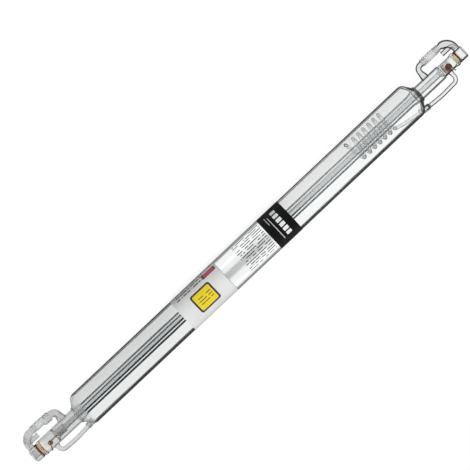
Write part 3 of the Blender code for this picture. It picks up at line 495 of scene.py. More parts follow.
def rounded(corners, radii, closed=False, fineness=9.0):
    """The line through the corners, with an arc in place of each inner corner.

    An arc starts radius * tan(turn / 2) before its corner. Its points are the start, plus
    radius * sin(angle) along the way in, plus radius * (1 - cos(angle)) sideways. A point is added on
    the straight a little before and after it, which keeps the shading of the two apart. The fineness
    is the largest step of the angle, in degrees.
    """
    corners = np.asarray(corners, float)
    radii = np.asarray(radii, float)
    ahead = np.roll(corners, -1, axis=0) - corners
    length = np.linalg.norm(ahead, axis=1)
    way_out = ahead / length[:, None]
    way_in = np.roll(way_out, 1, axis=0)
    turn = np.arccos(np.clip(np.sum(way_in * way_out, axis=1), -1.0, 1.0))
    turn[radii == 0.0] = 0.0
    if not closed:
        turn[[0, -1]] = 0.0
    reach = radii * np.tan(turn / 2)
    spare = length - reach - np.roll(reach, -1)
    if not closed:
        spare = spare[:-1]
    assert spare.min() > -1e-6, f"the arcs leave no room: {spare.round(2).tolist()}"
    parts = []
    for j, corner in enumerate(corners):
        if turn[j] < 1e-4:
            parts.append(corner[None])
            continue
        into, out_of = way_in[j], way_out[j]
        side = unit(out_of - into * (into @ out_of))
        steps = max(3, math.ceil(math.degrees(turn[j]) / fineness))
        angle = np.linspace(0.0, turn[j], steps + 1)[:, None]
        begin = corner - into * reach[j]
        arc = begin + into * radii[j] * np.sin(angle) + side * radii[j] * (1.0 - np.cos(angle))
        lead_in = min(LEAD_OF_ARC * radii[j], LEAD_OF_SPARE * spare[j - 1])
        lead_out = min(LEAD_OF_ARC * radii[j], LEAD_OF_SPARE * spare[j])
        if lead_in > SHORTEST_LEAD:
            parts.append((arc[0] - into * lead_in)[None])
        parts.append(arc)
        if lead_out > SHORTEST_LEAD:
            parts.append((arc[-1] + out_of * lead_out)[None])
    return np.concatenate(parts)


print("a quarter turn of radius 2:", rounded([(0, 0), (5, 0), (5, 5)], [0, 2, 0]).round(2)[1:4].tolist())

# %% Points and distances along a line
def filled(line, step, closed=False):
    """The line with points added so that no gap in it is longer than the step."""
    line = np.asarray(line, float)
    after = np.roll(line, -1, axis=0) if closed else line[1:]
    before = line if closed else line[:-1]
    gaps = np.linalg.norm(after - before, axis=1)
    pieces = np.maximum(1, np.ceil(gaps / step).astype(int))
    index = np.repeat(np.arange(len(before)), pieces)
    offset = np.arange(pieces.sum()) - np.repeat(np.cumsum(pieces) - pieces, pieces)
    share = (offset / pieces[index])[:, None]
    points = before[index] + (after[index] - before[index]) * share
    return points if closed else np.concatenate([points, line[-1:]])


def travelled(path):
    """How far along the path each of its points lies."""
    steps = np.linalg.norm(np.diff(path, axis=0), axis=1)
    return np.concatenate([[0.0], np.cumsum(steps)])


def eased(value, start, length, low=0.0, high=1.0):
    """low before start, high after start + length, and a smooth s = 3u2 - 2u3 between them."""
    share = np.clip((np.asarray(value, float) - start) / length, 0.0, 1.0)
    return low + (high - low) * share * share * (3.0 - 2.0 * share)


print("halfway up a smooth step:", eased(0.5, 0.0, 1.0))

# %% Carrying a profile along a path
def carried(path, profile, sides, reference):
    """Rings of points: ring i has the profile's radius r round the path's place at its distance d.

    Point (i, k) = place(d) + r * (across * cos(a) + up * sin(a)), where a = 2 pi k / sides, across is
    the reference direction without its part along the path, and up is square to both.
    """
    path = np.asarray(path, float)
    profile = np.asarray(profile, float)
    run = travelled(path)
    distance = np.clip(profile[:, 0], 0.0, run[-1])
    place = np.stack([np.interp(distance, run, path[:, j]) for j in range(3)], axis=1)
    tangents = unit(np.gradient(path, run, axis=0))
    along = unit(np.stack([np.interp(distance, run, tangents[:, j]) for j in range(3)], axis=1))
    place = place + along * (profile[:, 0] - distance)[:, None]
    reference = np.broadcast_to(np.asarray(reference, float), place.shape)
    across = unit(reference - along * np.sum(reference * along, axis=1, keepdims=True))
    up = np.cross(along, across)
    angle = 2.0 * math.pi * np.arange(sides) / sides
    round_it = across[:, None] * np.cos(angle)[:, None] + up[:, None] * np.sin(angle)[:, None]
    return place[:, None] + round_it * profile[:, 1][:, None, None]


straight = carried([(0, 0, 0), (4, 0, 0)], [(0, 1), (2, 1), (4, 1)], 8, (0, 0, 1))
print("a short straight tube is", straight.shape[0], "rings of", straight.shape[1], "points")

# %% A mesh from rings of points
def skin(name, rings, material, node_names, loop=True):
    """A smooth mesh over the grid of rings, riding on the tube in place of the named CAD nodes.

    Face (i, k) joins points (i, k), (i, k + 1), (i + 1, k + 1) and (i + 1, k). The ring's points
    always close, and the rings close too when loop is true.
    """
    count, sides = rings.shape[:2]
    ring = np.arange(count if loop else count - 1)[:, None]
    side = np.arange(sides)[None]
    next_ring, next_side = (ring + 1) % count, (side + 1) % sides
    faces = np.stack(
        [
            ring * sides + side,
            ring * sides + next_side,
            next_ring * sides + next_side,
            next_ring * sides + side,
        ],
        axis=-1,
    ).reshape(-1, 4)
    mesh = bpy.data.meshes.new(name)
    mesh.vertices.add(count * sides)
    mesh.vertices.foreach_set("co", placed(rings.reshape(-1, 3)).ravel())
    mesh.loops.add(faces.size)
    mesh.loops.foreach_set("vertex_index", faces.ravel())
    mesh.polygons.add(len(faces))
    mesh.polygons.foreach_set("loop_start", np.arange(0, faces.size, 4))
    mesh.update(calc_edges=True)
    return tidied(name, mesh, material, node_names)


def tidied(name, mesh, material, node_names):
    bm = bmesh.new()
    bm.from_mesh(mesh)
    bmesh.ops.remove_doubles(bm, verts=bm.verts, dist=1e-6)
    bmesh.ops.dissolve_degenerate(bm, edges=bm.edges, dist=1e-7)
    bmesh.ops.recalc_face_normals(bm, faces=bm.faces)
    bm.to_mesh(mesh)
    bm.free()
    mesh.shade_smooth()
    mesh.materials.append(material)
    piece = bpy.data.objects.new(name, mesh)
    bpy.context.scene.collection.objects.link(piece)
    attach(piece, "root")
    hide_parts(*node_names)
    print(f"{name}: {len(mesh.polygons)} faces")
    return piece


print("pieces ride on the node that is called root")

# %% Lathe work, tube walls and their feet
def lathed(name, corners, material, node_names, end=None, sides=96, step=1.5, closed=True):
    """A piece turned about the beam from (place along the beam, radius, arc's radius) corners."""
    corners = np.asarray(corners, float)
    line = filled(rounded(corners[:, :2], corners[:, 2], closed=closed), step, closed=closed)
    if end is not None:
        line = line * [end.side, 1.0]
    rings = carried([-HALF * BEAM, HALF * BEAM], line + [HALF, 0.0], sides, HOSE_SIDE)
    return skin(name, rings, material, node_names, loop=closed)


def walled(length, outer, wall, step=1.0, rim_steps=6):
    """The closed profile of a tube's wall, as (distance, radius) pairs.

    It runs out along the outside, round the far rim, back along the inside and round the near rim.
    A rim is a half circle as wide as the wall, as glass is left by a flame.
    """
    half = wall / 2
    d = np.linspace(half, length - half, max(3, math.ceil(length / step)))
    a = np.radians(np.linspace(90.0, -90.0, rim_steps + 1)[1:-1])
    far_r, near_r = outer(length) - half, outer(0.0) - half
    far_rim = np.stack([length - half + half * np.cos(a), far_r + half * np.sin(a)], axis=1)
    near_rim = np.stack([half - half * np.cos(a), near_r - half * np.sin(a)], axis=1)
    outside = np.stack([d, outer(d) + 0.0 * d], axis=1)
    inside = outside[::-1] - [0.0, wall]
    return np.concatenate([outside, far_rim, inside, near_rim])


def seated(rings, axis, host_r, reach):
    """Lets the foot of a side tube follow the round tube that it stands on.

    A point w to the side of the foot's middle sinks by host_r - sqrt(host_r^2 - w^2). All of that
    applies at the foot, and none of it at the given reach above.
    """
    aside = np.sum(rings * np.cross(BEAM, axis), axis=-1, keepdims=True)
    level = np.sum(rings * axis, axis=-1, keepdims=True)
    fall = host_r - np.sqrt(np.clip(host_r ** 2 - aside ** 2, 0.0, None))
    share = np.clip(1.0 - (level - host_r) / reach, 0.0, 1.0)
    return rings - axis * fall * share


def in_plane(end, corners):
    """(distance from the middle, height) pairs, placed in the plane of the hoses and the arms."""
    corners = np.asarray(corners, float)
    return np.stack([end.side * corners[:, 0], 0.0 * corners[:, 0], corners[:, 1]], axis=1)


SIDEWAYS = np.cross(BEAM, HOSE_SIDE)
print("the profile of a short tube:", walled(4.0, lambda d: 2.0, 1.0).shape[0], "points")

# %% [markdown]
# ## Clear glass
# Lab glass bends light a little less than window glass: its index is 1.47. The bending makes most of
# the look. The rest is how much light each skin keeps. A skin seen face on passes nearly all of it,
# and a skin seen edge on keeps a lot, because the light runs a long way inside the wall there. Its
# near-black edge colour also paints in the shade that dark surroundings give. Layer Weight gives that
# angle. Real drawn tubing also has faint lengthwise ripples and a little haze.
#
# What several materials share goes into node groups: where a point lies on the tube, the ripples, and
# what changes from one end of the tube to the other.

# %% Groups, and the first one: places on the tube
def new_group(name, inputs, outputs):
    """A shader node group of plain numbers: its tree, what it is given and what it puts out."""
    tree = bpy.data.node_groups.new(name, "ShaderNodeTree")
    for label, value in inputs.items():
        socket = tree.interface.new_socket(label, in_out="INPUT", socket_type="NodeSocketFloat")
        socket.default_value = value
    for label in outputs:
        tree.interface.new_socket(label, in_out="OUTPUT", socket_type="NodeSocketFloat")
    return tree, node(tree, "NodeGroupInput").outputs, node(tree, "NodeGroupOutput").inputs


def used(tree, group, inputs=None):
    """What the group puts out in this tree, with these values."""
    return node(tree, "ShaderNodeGroup", inputs, node_tree=group).outputs


def make_place_group():
    """Millimetres along the beam, the angle round it from the camera's side, and the radius.

    With front and down as a place's reach in two directions across the beam, the angle is the arc
    tangent of down / front and the radius the square root of front^2 + down^2.
    """
    tree, _, out = new_group("place on the tube", {}, ["Along", "Around", "Radius"])
    where = place_in(tree)
    front, down = dot(tree, where, FRONT), dot(tree, where, -TO_HOSES)
    squares = [calc(tree, "MULTIPLY", part, part) for part in (front, down)]
    radius = calc(tree, "SQRT", calc(tree, "ADD", *squares))
    feed(tree, out["Along"], calc(tree, "MULTIPLY", dot(tree, where, BEAM), 1.0 / MM))
    feed(tree, out["Around"], calc(tree, "ARCTAN2", down, front))
    feed(tree, out["Radius"], calc(tree, "MULTIPLY", radius, 1.0 / MM))
    return tree


place_group = make_place_group()
print("group:", place_group.name)

# %% A group for drawn glass: ripples along it and faint haze
def noise(tree, where, scale, detail):
    """Cloudy noise from 0 to 1."""
    inputs = {"Vector": where, "Scale": scale, "Detail": detail}
    return node(tree, "ShaderNodeTexNoise", inputs).outputs["Fac"]


def streaks(tree, along, around, scale):
    """Noise in long streaks: its place is the length and the angle, each times its own rate."""
    place = used(tree, place_group)
    spot = node(tree, "ShaderNodeCombineXYZ", {
        0: calc(tree, "MULTIPLY", place["Along"], along),
        1: calc(tree, "MULTIPLY", place["Around"], around),
        2: 0.0,
    })
    return noise(tree, spot.outputs[0], scale, 2.0)


def make_drawn_group():
    """Height is the streaks times Ripple, and Roughness the densest parts of a haze times Haze."""
    tree, given, out = new_group("drawn glass", {"Ripple": 1.0, "Haze": 0.02}, ["Height", "Roughness"])
    ripple = streaks(tree, 0.004, 4.0, 1.6)
    haze = ease(tree, noise(tree, place_in(tree), 38.0, 3.0), 0.45, 0.75)
    feed(tree, out["Height"], calc(tree, "MULTIPLY", ripple, given["Ripple"]))
    feed(tree, out["Roughness"], calc(tree, "MULTIPLY", haze, given["Haze"]))
    return tree


drawn_group = make_drawn_group()
print("group:", drawn_group.name)

# %% A group for what changes from end to end, in millimetres along the beam
SEAM_MIDDLE = 1.0  # past the foot of the lip
SEAM_BAND = (3.4, 2.0)
SHOULDER_RUN = 14.0
MIST = (4.0, -3.0)
# where painted light makes the glass edges paler, in millimetres along the beam
PAINTED_PALE_ALONG = (30.0, 190.0)
WARM_STRIP = ((-467.0, -472.0), (-491.0, -486.0))


def make_ends_group():
    """Four masks: smoky seams, misty output end, painted light in the rear half, warm window."""
    tree, _, out = new_group("blown ends", {}, ["Fused", "Misty", "Painted pale", "Amber"])
    along = used(tree, place_group)["Along"]
    bands = []
    for end, smoke in ((OUTPUT, 0.35), (REAR, 1.0)):
        band = near(tree, along, end.side * (end.seam + SEAM_MIDDLE), SEAM_BAND)
        bands.append(calc(tree, "MULTIPLY", band, smoke))
    mist_start = OUTPUT.side * (OUTPUT.seam - SHOULDER_RUN)
    feed(tree, out["Fused"], calc(tree, "MAXIMUM", *bands))
    feed(tree, out["Misty"], ease(tree, along, mist_start + MIST[0], mist_start + MIST[1]))
    feed(tree, out["Painted pale"], ease(tree, along, *PAINTED_PALE_ALONG))
    feed(tree, out["Amber"], strip(tree, along, *WARM_STRIP))
    return tree


ends_group = make_ends_group()
print("group:", ends_group.name)

# %% What several finishes need
def turned_away(tree):
    """0 where the surface faces the view, and 1 where it is seen edge on."""
    return node(tree, "ShaderNodeLayerWeight", {"Blend": 0.5}).outputs["Facing"]


def bumped(tree, height, strength, distance):
    """The normal of a surface with this relief, whose full depth is the distance in metres."""
    inputs = {"Height": height, "Strength": strength, "Distance": distance}
    return node(tree, "ShaderNodeBump", inputs).outputs["Normal"]


def clear_to_lamps(tree, shader, tint):
    """The shader, but tinted and clear for a lamp's own rays, so that the shadow stays soft."""
    clear = node(tree, "ShaderNodeBsdfTransparent", {"Color": tint})
    lamp_ray = node(tree, "ShaderNodeLightPath").outputs["Is Shadow Ray"]
    return node(tree, "ShaderNodeMixShader", {0: lamp_ray, 1: shader.outputs[0], 2: clear.outputs[0]})


print("helpers for finishes are ready")

# %% Glass, as one function for every clear part
GLASS_INDEX = 1.47
GLASS_SHADOW = grey(0.96)
SMOKE = 0.68
MIST_TINT = 0.95
SOFT_EDGE = grey(0.74)
WARM_TINT = (0.98, 0.965, 0.93)
WARM_RADIUS = (17.0, 14.0)
FLARE_RUN = 1.5
NO_FLARE = 1000.0


def make_glass(
    name, tint, edge, turn, ripple=0.2, haze=0.02, flare=NO_FLARE, pale=0.0, painted_side_shade=0.0, gleam=1.0
):
    """Clear glass: a shader that bends light and one that mirrors it, mixed by Fresnel.

    The turn is a pair: how far a wall has turned from the view where it starts to darken, and where
    it is fully dark. There the bent light has the edge's colour, and of the mirrored light the share
    gleam is left. Painted shade makes a wall turn dark sooner on the gas arms' side, by the sine
    of the angle round it. Edges are soft and grey past the output shoulder and outside the flare's
    radius, and painted light makes them so in the rear half, by the share pale. A fused seam is
    smoky, and glass near the window is a little warm.
    """
    material, tree = new_material(name)
    place = used(tree, place_group)
    marks = used(tree, ends_group)
    drawn = used(tree, drawn_group, {"Ripple": ripple, "Haze": haze})
    # painted shade: the edges turn dark sooner on the gas arms' side, by the sine of the angle round it
    painted_shade_side = calc(tree, "MULTIPLY", calc(tree, "SINE", place["Around"]), painted_side_shade)
    turned = ease(tree, calc(tree, "ADD", turned_away(tree), painted_shade_side), *turn)
    face_on = mixed(tree, marks["Fused"], tint, darker(tint, SMOKE))
    face_on = mixed(tree, marks["Misty"], face_on, darker(tint, MIST_TINT))
    warm = calc(tree, "MULTIPLY", marks["Amber"], ease(tree, place["Radius"], *WARM_RADIUS))
    face_on = mixed(tree, warm, face_on, WARM_TINT)
    soft = calc(tree, "MAXIMUM", marks["Misty"], ease(tree, place["Radius"], flare, flare + FLARE_RUN))
    # painted light: in the rear half the edges are paler and softer
    soft = calc(tree, "MAXIMUM", soft, calc(tree, "MULTIPLY", marks["Painted pale"], pale))
    bent_edge = mixed(tree, soft, edge, SOFT_EDGE)
    mirrored_edge = mixed(tree, soft, grey(gleam), WHITE)
    surface = {
        "Roughness": drawn["Roughness"],
        "Normal": bumped(tree, drawn["Height"], 0.25, 0.001),
    }
    bent = node(tree, "ShaderNodeBsdfRefraction", {
        "Color": mixed(tree, turned, face_on, bent_edge), "IOR": GLASS_INDEX, **surface,
    })
    mirrored = node(tree, "ShaderNodeBsdfGlossy", {
        "Color": mixed(tree, turned, WHITE, mirrored_edge), **surface,
    })
    share = node(tree, "ShaderNodeFresnel", {"IOR": GLASS_INDEX, "Normal": surface["Normal"]})
    glass = node(tree, "ShaderNodeMixShader", {
        0: share.outputs[0], 1: bent.outputs[0], 2: mirrored.outputs[0],
    })
    finished(tree, clear_to_lamps(tree, glass, GLASS_SHADOW))
    return material


print("glass index:", GLASS_INDEX)

# %% Seven kinds of glass
# near-black edges: partly the long path through the wall, partly painted shade
DARK_EDGE = (0.018, 0.018, 0.019)
body_glass = make_glass("body glass", (0.985, 0.99, 0.99), DARK_EDGE, (0.56, 0.61), 0.4, painted_side_shade=0.045)
jacket_glass = make_glass(
    "jacket glass", (0.98, 0.985, 0.985), DARK_EDGE, (0.405, 0.455), pale=0.4, painted_side_shade=0.025, gleam=0.1
)
bore_glass = make_glass(
    "bore glass", (0.955, 0.96, 0.96), DARK_EDGE, (0.16, 0.24), 0.1,
    flare=DISCHARGE_R + 0.2, pale=0.95, painted_side_shade=0.06, gleam=0.5,
)
coil_glass = make_glass("coil glass", (0.97, 0.975, 0.975), grey(0.30), (0.48, 0.72), 0.1)
head_glass = make_glass("head glass", (0.97, 0.98, 0.975), DARK_EDGE, (0.44, 0.56), painted_side_shade=0.10)
clear_arm = make_glass("clear arm", (0.965, 0.97, 0.97), DARK_EDGE, (0.23, 0.42))
misty_arm = make_glass("misty arm", grey(0.985), grey(0.86), (0.30, 0.75), haze=0.9)
OUTPUT.arm_glass, REAR.arm_glass = misty_arm, clear_arm
print("clear glass:", body_glass.name, jacket_glass.name, bore_glass.name, coil_glass.name)

# %% [markdown]
# ## The gas reservoir
# The reservoir is a 64 mm tube drawn in at both ends to shoulders, and each shoulder's lip is fused to
# the neck. A glass blower's shoulder flows from the lip to the wall with no hard corner, so the
# profile's corners get wide arcs, and the fused lip a thick round bead. A corner is written as three
# numbers: its place along the beam, its radius and the radius of its arc.


def shoulder(end):
    """The corners of one shoulder, from the inner wall round the lip to the outer wall."""
    slope = math.radians(SHOULDER_ANGLE)
    bore = end.neck_r + GAP
    lip_r = bore + LIP_WALL
    knee = end.seam - (RESERVOIR_R - lip_r) / math.tan(slope)
    foot = knee + (RESERVOIR_R - bore - RESERVOIR_WALL / math.cos(slope)) / math.tan(slope)
    tip = end.seam + LIP_LENGTH
    inner_knee = knee - RESERVOIR_WALL * math.tan(slope / 2)
    return [
        (inner_knee, RESERVOIR_R - RESERVOIR_WALL, SHOULDER_ROUND - RESERVOIR_WALL),
        (foot, bore, 0.6),
        (tip, bore, 0.5),
        (tip, lip_r, 1.2),
        (end.seam, lip_r, 2.2),
        (knee, RESERVOIR_R, SHOULDER_ROUND),
    ]


loop = [(-x, r, arc) for x, r, arc in shoulder(OUTPUT)] + shoulder(REAR)[::-1]
lathed("reservoir", loop, body_glass, ["reservoir_tube"], sides=160, step=8.0)

# %% [markdown]
# ## Tubes inside the reservoir
# The water jacket widens at both ends into the necks that carry the shoulders. The discharge tube
# opens at the output end into a cup for the cathode and at the rear into a short funnel, and its
# flanges are the ring seals that close the necks. All are lathe work, so a profile is enough.

# %% Water jacket
share = np.linspace(0.0, 1.0, 15)
halves = []
for end in ENDS:
    taper_r = eased(share, 0.0, 1.0, end.neck_r, JACKET_R)
    taper = np.stack([end.seam - NECK_TAPER * share, taper_r], axis=1)
    half = np.concatenate([[[RING_SEAL, end.neck_r]], taper]) * [end.side, 1.0]
    halves.append(half if end is OUTPUT else half[::-1])
outside = np.concatenate(halves)
loop = np.concatenate([outside, outside[::-1] - [0.0, JACKET_WALL]])
arcs = np.zeros((len(loop), 1))
arcs[[0, len(outside) - 1, len(outside), -1]] = 0.45
loop = np.hstack([loop, arcs])
lathed("water_jacket_tube", loop, jacket_glass, ["water_jacket"], sides=112, step=8.0)

# %% Discharge tube with its cup and its funnel
CATHODE_R = 6.0
CUP_LENGTH = 20.0
CUP_MOUTH = 5.0
CUP_FLARE = 2.0
FUNNEL_LENGTH = 7.0
cup_r = CATHODE_R + GAP
cup_outer = cup_r + DISCHARGE_WALL
bore_r = DISCHARGE_R - DISCHARGE_WALL
floor = RING_SEAL - CUP_LENGTH
step = (cup_outer - DISCHARGE_R) / 2
cup_flange = OUTPUT.neck_r - JACKET_WALL - GAP
funnel_flange = REAR.neck_r - JACKET_WALL - GAP
throat = RING_SEAL - FUNNEL_LENGTH
knee = throat + (FUNNEL_LENGTH - FLANGE) / 2
cup = [  # inside then outside
    (floor - 2 * step, bore_r, 2.0),
    (floor, cup_r, 2.0),
    (RING_SEAL - CUP_MOUTH, cup_r, 3.0),
    (RING_SEAL, cup_r + CUP_FLARE, 0.5),
    (RING_SEAL, cup_flange, 0.5),
    (RING_SEAL - FLANGE, cup_flange, 0.5),
    (RING_SEAL - 2 * FLANGE, cup_outer + CUP_FLARE, 1.0),
    (RING_SEAL - CUP_MOUTH, cup_outer, 1.5),
    (floor, cup_outer, 3.0),
    (floor - 2 * step - DISCHARGE_WALL, DISCHARGE_R, 2.0),
]
funnel = [  # outside then inside
    (throat, DISCHARGE_R, 1.5),
    (knee, DISCHARGE_R + DISCHARGE_WALL, 1.0),
    (RING_SEAL - FLANGE, funnel_flange, 0.5),
    (RING_SEAL, funnel_flange, 0.5),
    (RING_SEAL, funnel_flange - DISCHARGE_WALL, 0.5),
    (knee + DISCHARGE_WALL, DISCHARGE_R, 1.0),
    (throat + DISCHARGE_WALL, bore_r, 1.5),
]
loop = [(-x, r, arc) for x, r, arc in cup] + funnel
lathed("discharge_bore", loop, bore_glass, ["discharge_tube"], sides=80, step=8.0)

# %% [markdown]
# ## Heads, mirrors, glue and caps
# A head is a short thick-walled chamber with a ground flange. Its mirror is glued on that flange and
# the water cap on the mirror, each with a thin ring of clear amber epoxy that is squeezed out a little
# at the rim.

# %% Heads
for end in ENDS:
    inner_r = end.head_r - HEAD_WALL
    seat_r = end.flange_r - SEAT_WIDTH
    seat = HEAD_END - SEAT_DEPTH
    loop = [(HEAD_START, inner_r, 0.5), (HEAD_START, end.head_r, 0.5)]
    if end.flange_r > end.head_r:
        loop += [(seat - SEAT_BLEND, end.head_r, 4.0), (seat, end.flange_r, 3.0)]
    loop += [(HEAD_END, end.flange_r, 0.5), (HEAD_END, seat_r, 0.4)]
    loop += [(seat, seat_r, 0.8), (seat - HEAD_WALL, inner_r, 0.8)]
    name = f"{end.name}_head_chamber"
    lathed(name, loop, head_glass, [f"{end.name}_head"], end=end, step=2.0)

# %% [markdown]
# ## Metal, glue and mirrors: their finishes
# Rolled nickel shows fine lines along the roll and, near the discharge, brown heat stains. Epoxy and
# the dark sealing glass of the beads let light through, and get deeper edge on. A mirror is a polished
# disc with a coloured coat and a dark ground rim. All of them are procedural, so they stay sharp close
# up: noise gives the clouds, and the place on the tube gives the rim.

# %% Metal
ROLLED = (0.1, 1.0, 1.0)  # noise drawn out along the beam
DRAWN = (1.0, 1.0, 1.0)


def make_metal(name, colour, stain, rough, stretch, stain_scale, metallic):
    """Metal with fine lines along it and cloudy heat stains."""
    material, tree = new_material(name)
    where = place_in(tree)
    stretched = node(tree, "ShaderNodeMapping", {"Vector": where, "Scale": stretch}).outputs[0]
    lines = noise(tree, stretched, 900.0, 3.0)
    stains = ease(tree, noise(tree, where, stain_scale, 4.0), 0.40, 0.66)
    finished(tree, node(tree, "ShaderNodeBsdfPrincipled", {
        "Base Color": mixed(tree, stains, colour, stain),
        "Roughness": ease(tree, lines, 0.2, 0.8, rough * 0.7, rough * 1.3),
        "Metallic": metallic,
        "Normal": bumped(tree, lines, 0.15, 0.0002),
    }))
    return material


nickel = make_metal("rolled nickel", (0.97, 0.93, 0.87), (0.80, 0.74, 0.66), 0.24, ROLLED, 60.0, 0.25)
anode_metal = make_metal(
    "heated nickel", (0.92, 0.84, 0.74), (0.12, 0.06, 0.035), 0.26, ROLLED, 90.0, 0.4
)
wire_metal = make_metal("oxidised wire", (0.50, 0.30, 0.14), (0.10, 0.05, 0.03), 0.45, DRAWN, 120.0, 0.5)
print("metals:", nickel.name, anode_metal.name, wire_metal.name)

# %% Epoxy and sealing glass
def make_amber(name, tint, edge, ior, rough):
    """See-through amber stuff, darker edge on, with cloudy changes of tint."""
    material, tree = new_material(name)
    cloud = noise(tree, place_in(tree), 90.0, 3.0)
    face_on = mixed(tree, ease(tree, cloud, 0.35, 0.7), tint, darker(tint, 0.72))
    shader = node(tree, "ShaderNodeBsdfPrincipled", {
        "Base Color": mixed(tree, ease(tree, turned_away(tree), 0.35, 0.9), face_on, edge),
        "Roughness": ease(tree, cloud, 0.3, 0.8, rough, rough * 2.0),
        "IOR": ior,
        "Transmission Weight": 1.0,
    })
    finished(tree, clear_to_lamps(tree, shader, tint))
    return material


glue = make_amber("epoxy", (0.92, 0.70, 0.42), (0.50, 0.26, 0.09), 1.55, 0.08)
bead_glass = make_amber("seal bead", (0.62, 0.30, 0.11), (0.09, 0.030, 0.012), 1.48, 0.03)
print("amber:", glue.name, bead_glass.name)

# %% Mirror coats
RIM_INSIDE = 0.5
RIM_OUTSIDE = 0.2


def make_disc(name, end, light, deep, rim, metallic):
    """A polished disc: bright on its faces and dark round its ground edge."""
    material, tree = new_material(name)
    radius = used(tree, place_group)["Radius"]
    edge = ease(tree, radius, end.mirror_r - RIM_INSIDE, end.mirror_r - RIM_OUTSIDE)
    face = mixed(tree, noise(tree, place_in(tree), 300.0, 2.0), deep, light)
    finished(tree, node(tree, "ShaderNodeBsdfPrincipled", {
        "Base Color": mixed(tree, edge, face, rim),
        "Roughness": ease(tree, edge, 0.0, 1.0, 0.10, 0.42),
        "Metallic": metallic,
    }))
    return material


gold_coat = make_disc(
    "gold mirror", REAR, (0.92, 0.66, 0.30), (0.80, 0.50, 0.18), (0.10, 0.045, 0.02), 1.0
)
selenide = make_disc(
    "zinc selenide", OUTPUT, (0.90, 0.45, 0.12), (0.78, 0.32, 0.06), (0.055, 0.010, 0.004), 0.0
)
print("discs:", gold_coat.name, selenide.name)

# %% Mirrors
CHAMFER = 0.3
for end, piece, cad_name, stuff, slot in (
    (OUTPUT, "output_window", "output_coupler", selenide, "zinc_selenide"),
    (REAR, "rear_mirror_disc", "rear_mirror", gold_coat, "gold_coating"),
):
    back = MIRROR_FACE + MIRROR_THICKNESS
    r = end.mirror_r
    line = [(MIRROR_FACE, 0, 0), (MIRROR_FACE, r, CHAMFER), (back, r, CHAMFER), (back, 0, 0)]
    lathed(piece, line, stuff, [cad_name], end=end, closed=False)

# %% Rings of glue
SQUEEZED = 0.45


def ring_section(near_end, far_end, inner_r, outer_r, arc):
    """The corners of a plain ring's section, all rounded alike."""
    return [(x, r, arc) for x, r in (
        (near_end, inner_r), (near_end, outer_r), (far_end, outer_r), (far_end, inner_r),
    )]


def glue_ring(end, name, cad_name, face, inner_r, outer_r):
    """A flat ring of epoxy whose rims are rounded where they were squeezed out."""
    section = ring_section(face, face + BOND_THICKNESS, inner_r, outer_r, BOND_THICKNESS * SQUEEZED)
    lathed(name, section, glue, [cad_name], end=end)


for end in ENDS:
    name = end.name
    seat_r = end.flange_r - SEAT_WIDTH
    rim_r = end.mirror_r + BOND_PROUD
    glue_ring(end, f"{name}_mirror_glue", f"{name}_mirror_bond", MIRROR_BOND, seat_r, rim_r)
    rim_r = max(end.cap_r, end.mirror_r) + BOND_PROUD
    glue_ring(end, f"{name}_cap_glue", f"{name}_cap_bond", CAP_BOND, end.cap_r - CAP_WALL, rim_r)
glue_ring(OUTPUT, "beam_tube_glue", "beam_tube_bond", CAP_BOND, BEAM_R, BEAM_R + BEAM_TUBE_WALL)

# %% Water caps
ceiling = HALF - CAP_WALL
for end in ENDS:
    inner_r = end.cap_r - CAP_WALL
    rim = [(CAP_RIM, inner_r, 0.5), (CAP_RIM, end.cap_r, 0.5), (HALF, end.cap_r, end.cap_round)]
    inner_round = max(0.6, end.cap_round - CAP_WALL)
    if end is OUTPUT:
        tube_r = BEAM_R + BEAM_TUBE_WALL
        line = rim + [(HALF, BEAM_R, 0.6), (CAP_RIM, BEAM_R, 0.4), (CAP_RIM, tube_r, 0.4)]
        line += [(ceiling, tube_r, 0.8), (ceiling, inner_r, inner_round)]
    else:
        line = [(ceiling, 0, 0), (ceiling, inner_r, inner_round)] + rim + [(HALF, 0, 0)]
    name = f"{end.name}_water_cap"
    lathed(name, line, head_glass, [f"{end.name}_cap"], end=end, closed=end is OUTPUT)

# %% [markdown]
# ## Water fittings
# A bent glass elbow leaves each neck, a short silicone hose grips it, and a wider elbow takes the
# water down into the cap. The nozzle passes through the wall of that elbow and ends in a thin dip
# tube. Each is bent tubing: a rounded path, and a wall whose radius changes on the way.

# %% Neck elbows
EMBED = 0.4  # how far a fused foot sinks into the glass it stands on


def grip_height(end):
    """Height of the neck's spigot, at which the hose that grips it just meets the table."""
    return (LABEL_FLAT - end.spigot_r - GAP - HOSE_WALL) / math.cos(LEAN)


for end in ENDS:
    height = grip_height(end)
    corners = [
        (NECK_ELBOW, end.neck_r - EMBED),
        (NECK_ELBOW, height),
        (HOSE_START + SPIGOT_GRIP, height),
    ]
    path = filled(rounded(in_plane(end, corners), [0, NECK_ELBOW_BEND, 0], fineness=5.0), 1.0)
    rise = height - NECK_ELBOW_BEND - end.neck_r
    flare = max(rise, 5.0)

    def outer(d, end=end, flare=flare):
        return eased(d, EMBED, flare, end.spigot_r + NECK_ELBOW_FLARE, end.spigot_r)

    profile = walled(travelled(path)[-1], outer, SPIGOT_WALL)
    rings = carried(path, profile, 64, SIDEWAYS)
    rings = seated(rings, HOSE_SIDE, end.neck_r, flare)
    skin(f"{end.name}_neck_bend", rings, end.arm_glass, [f"{end.name}_neck_elbow"])

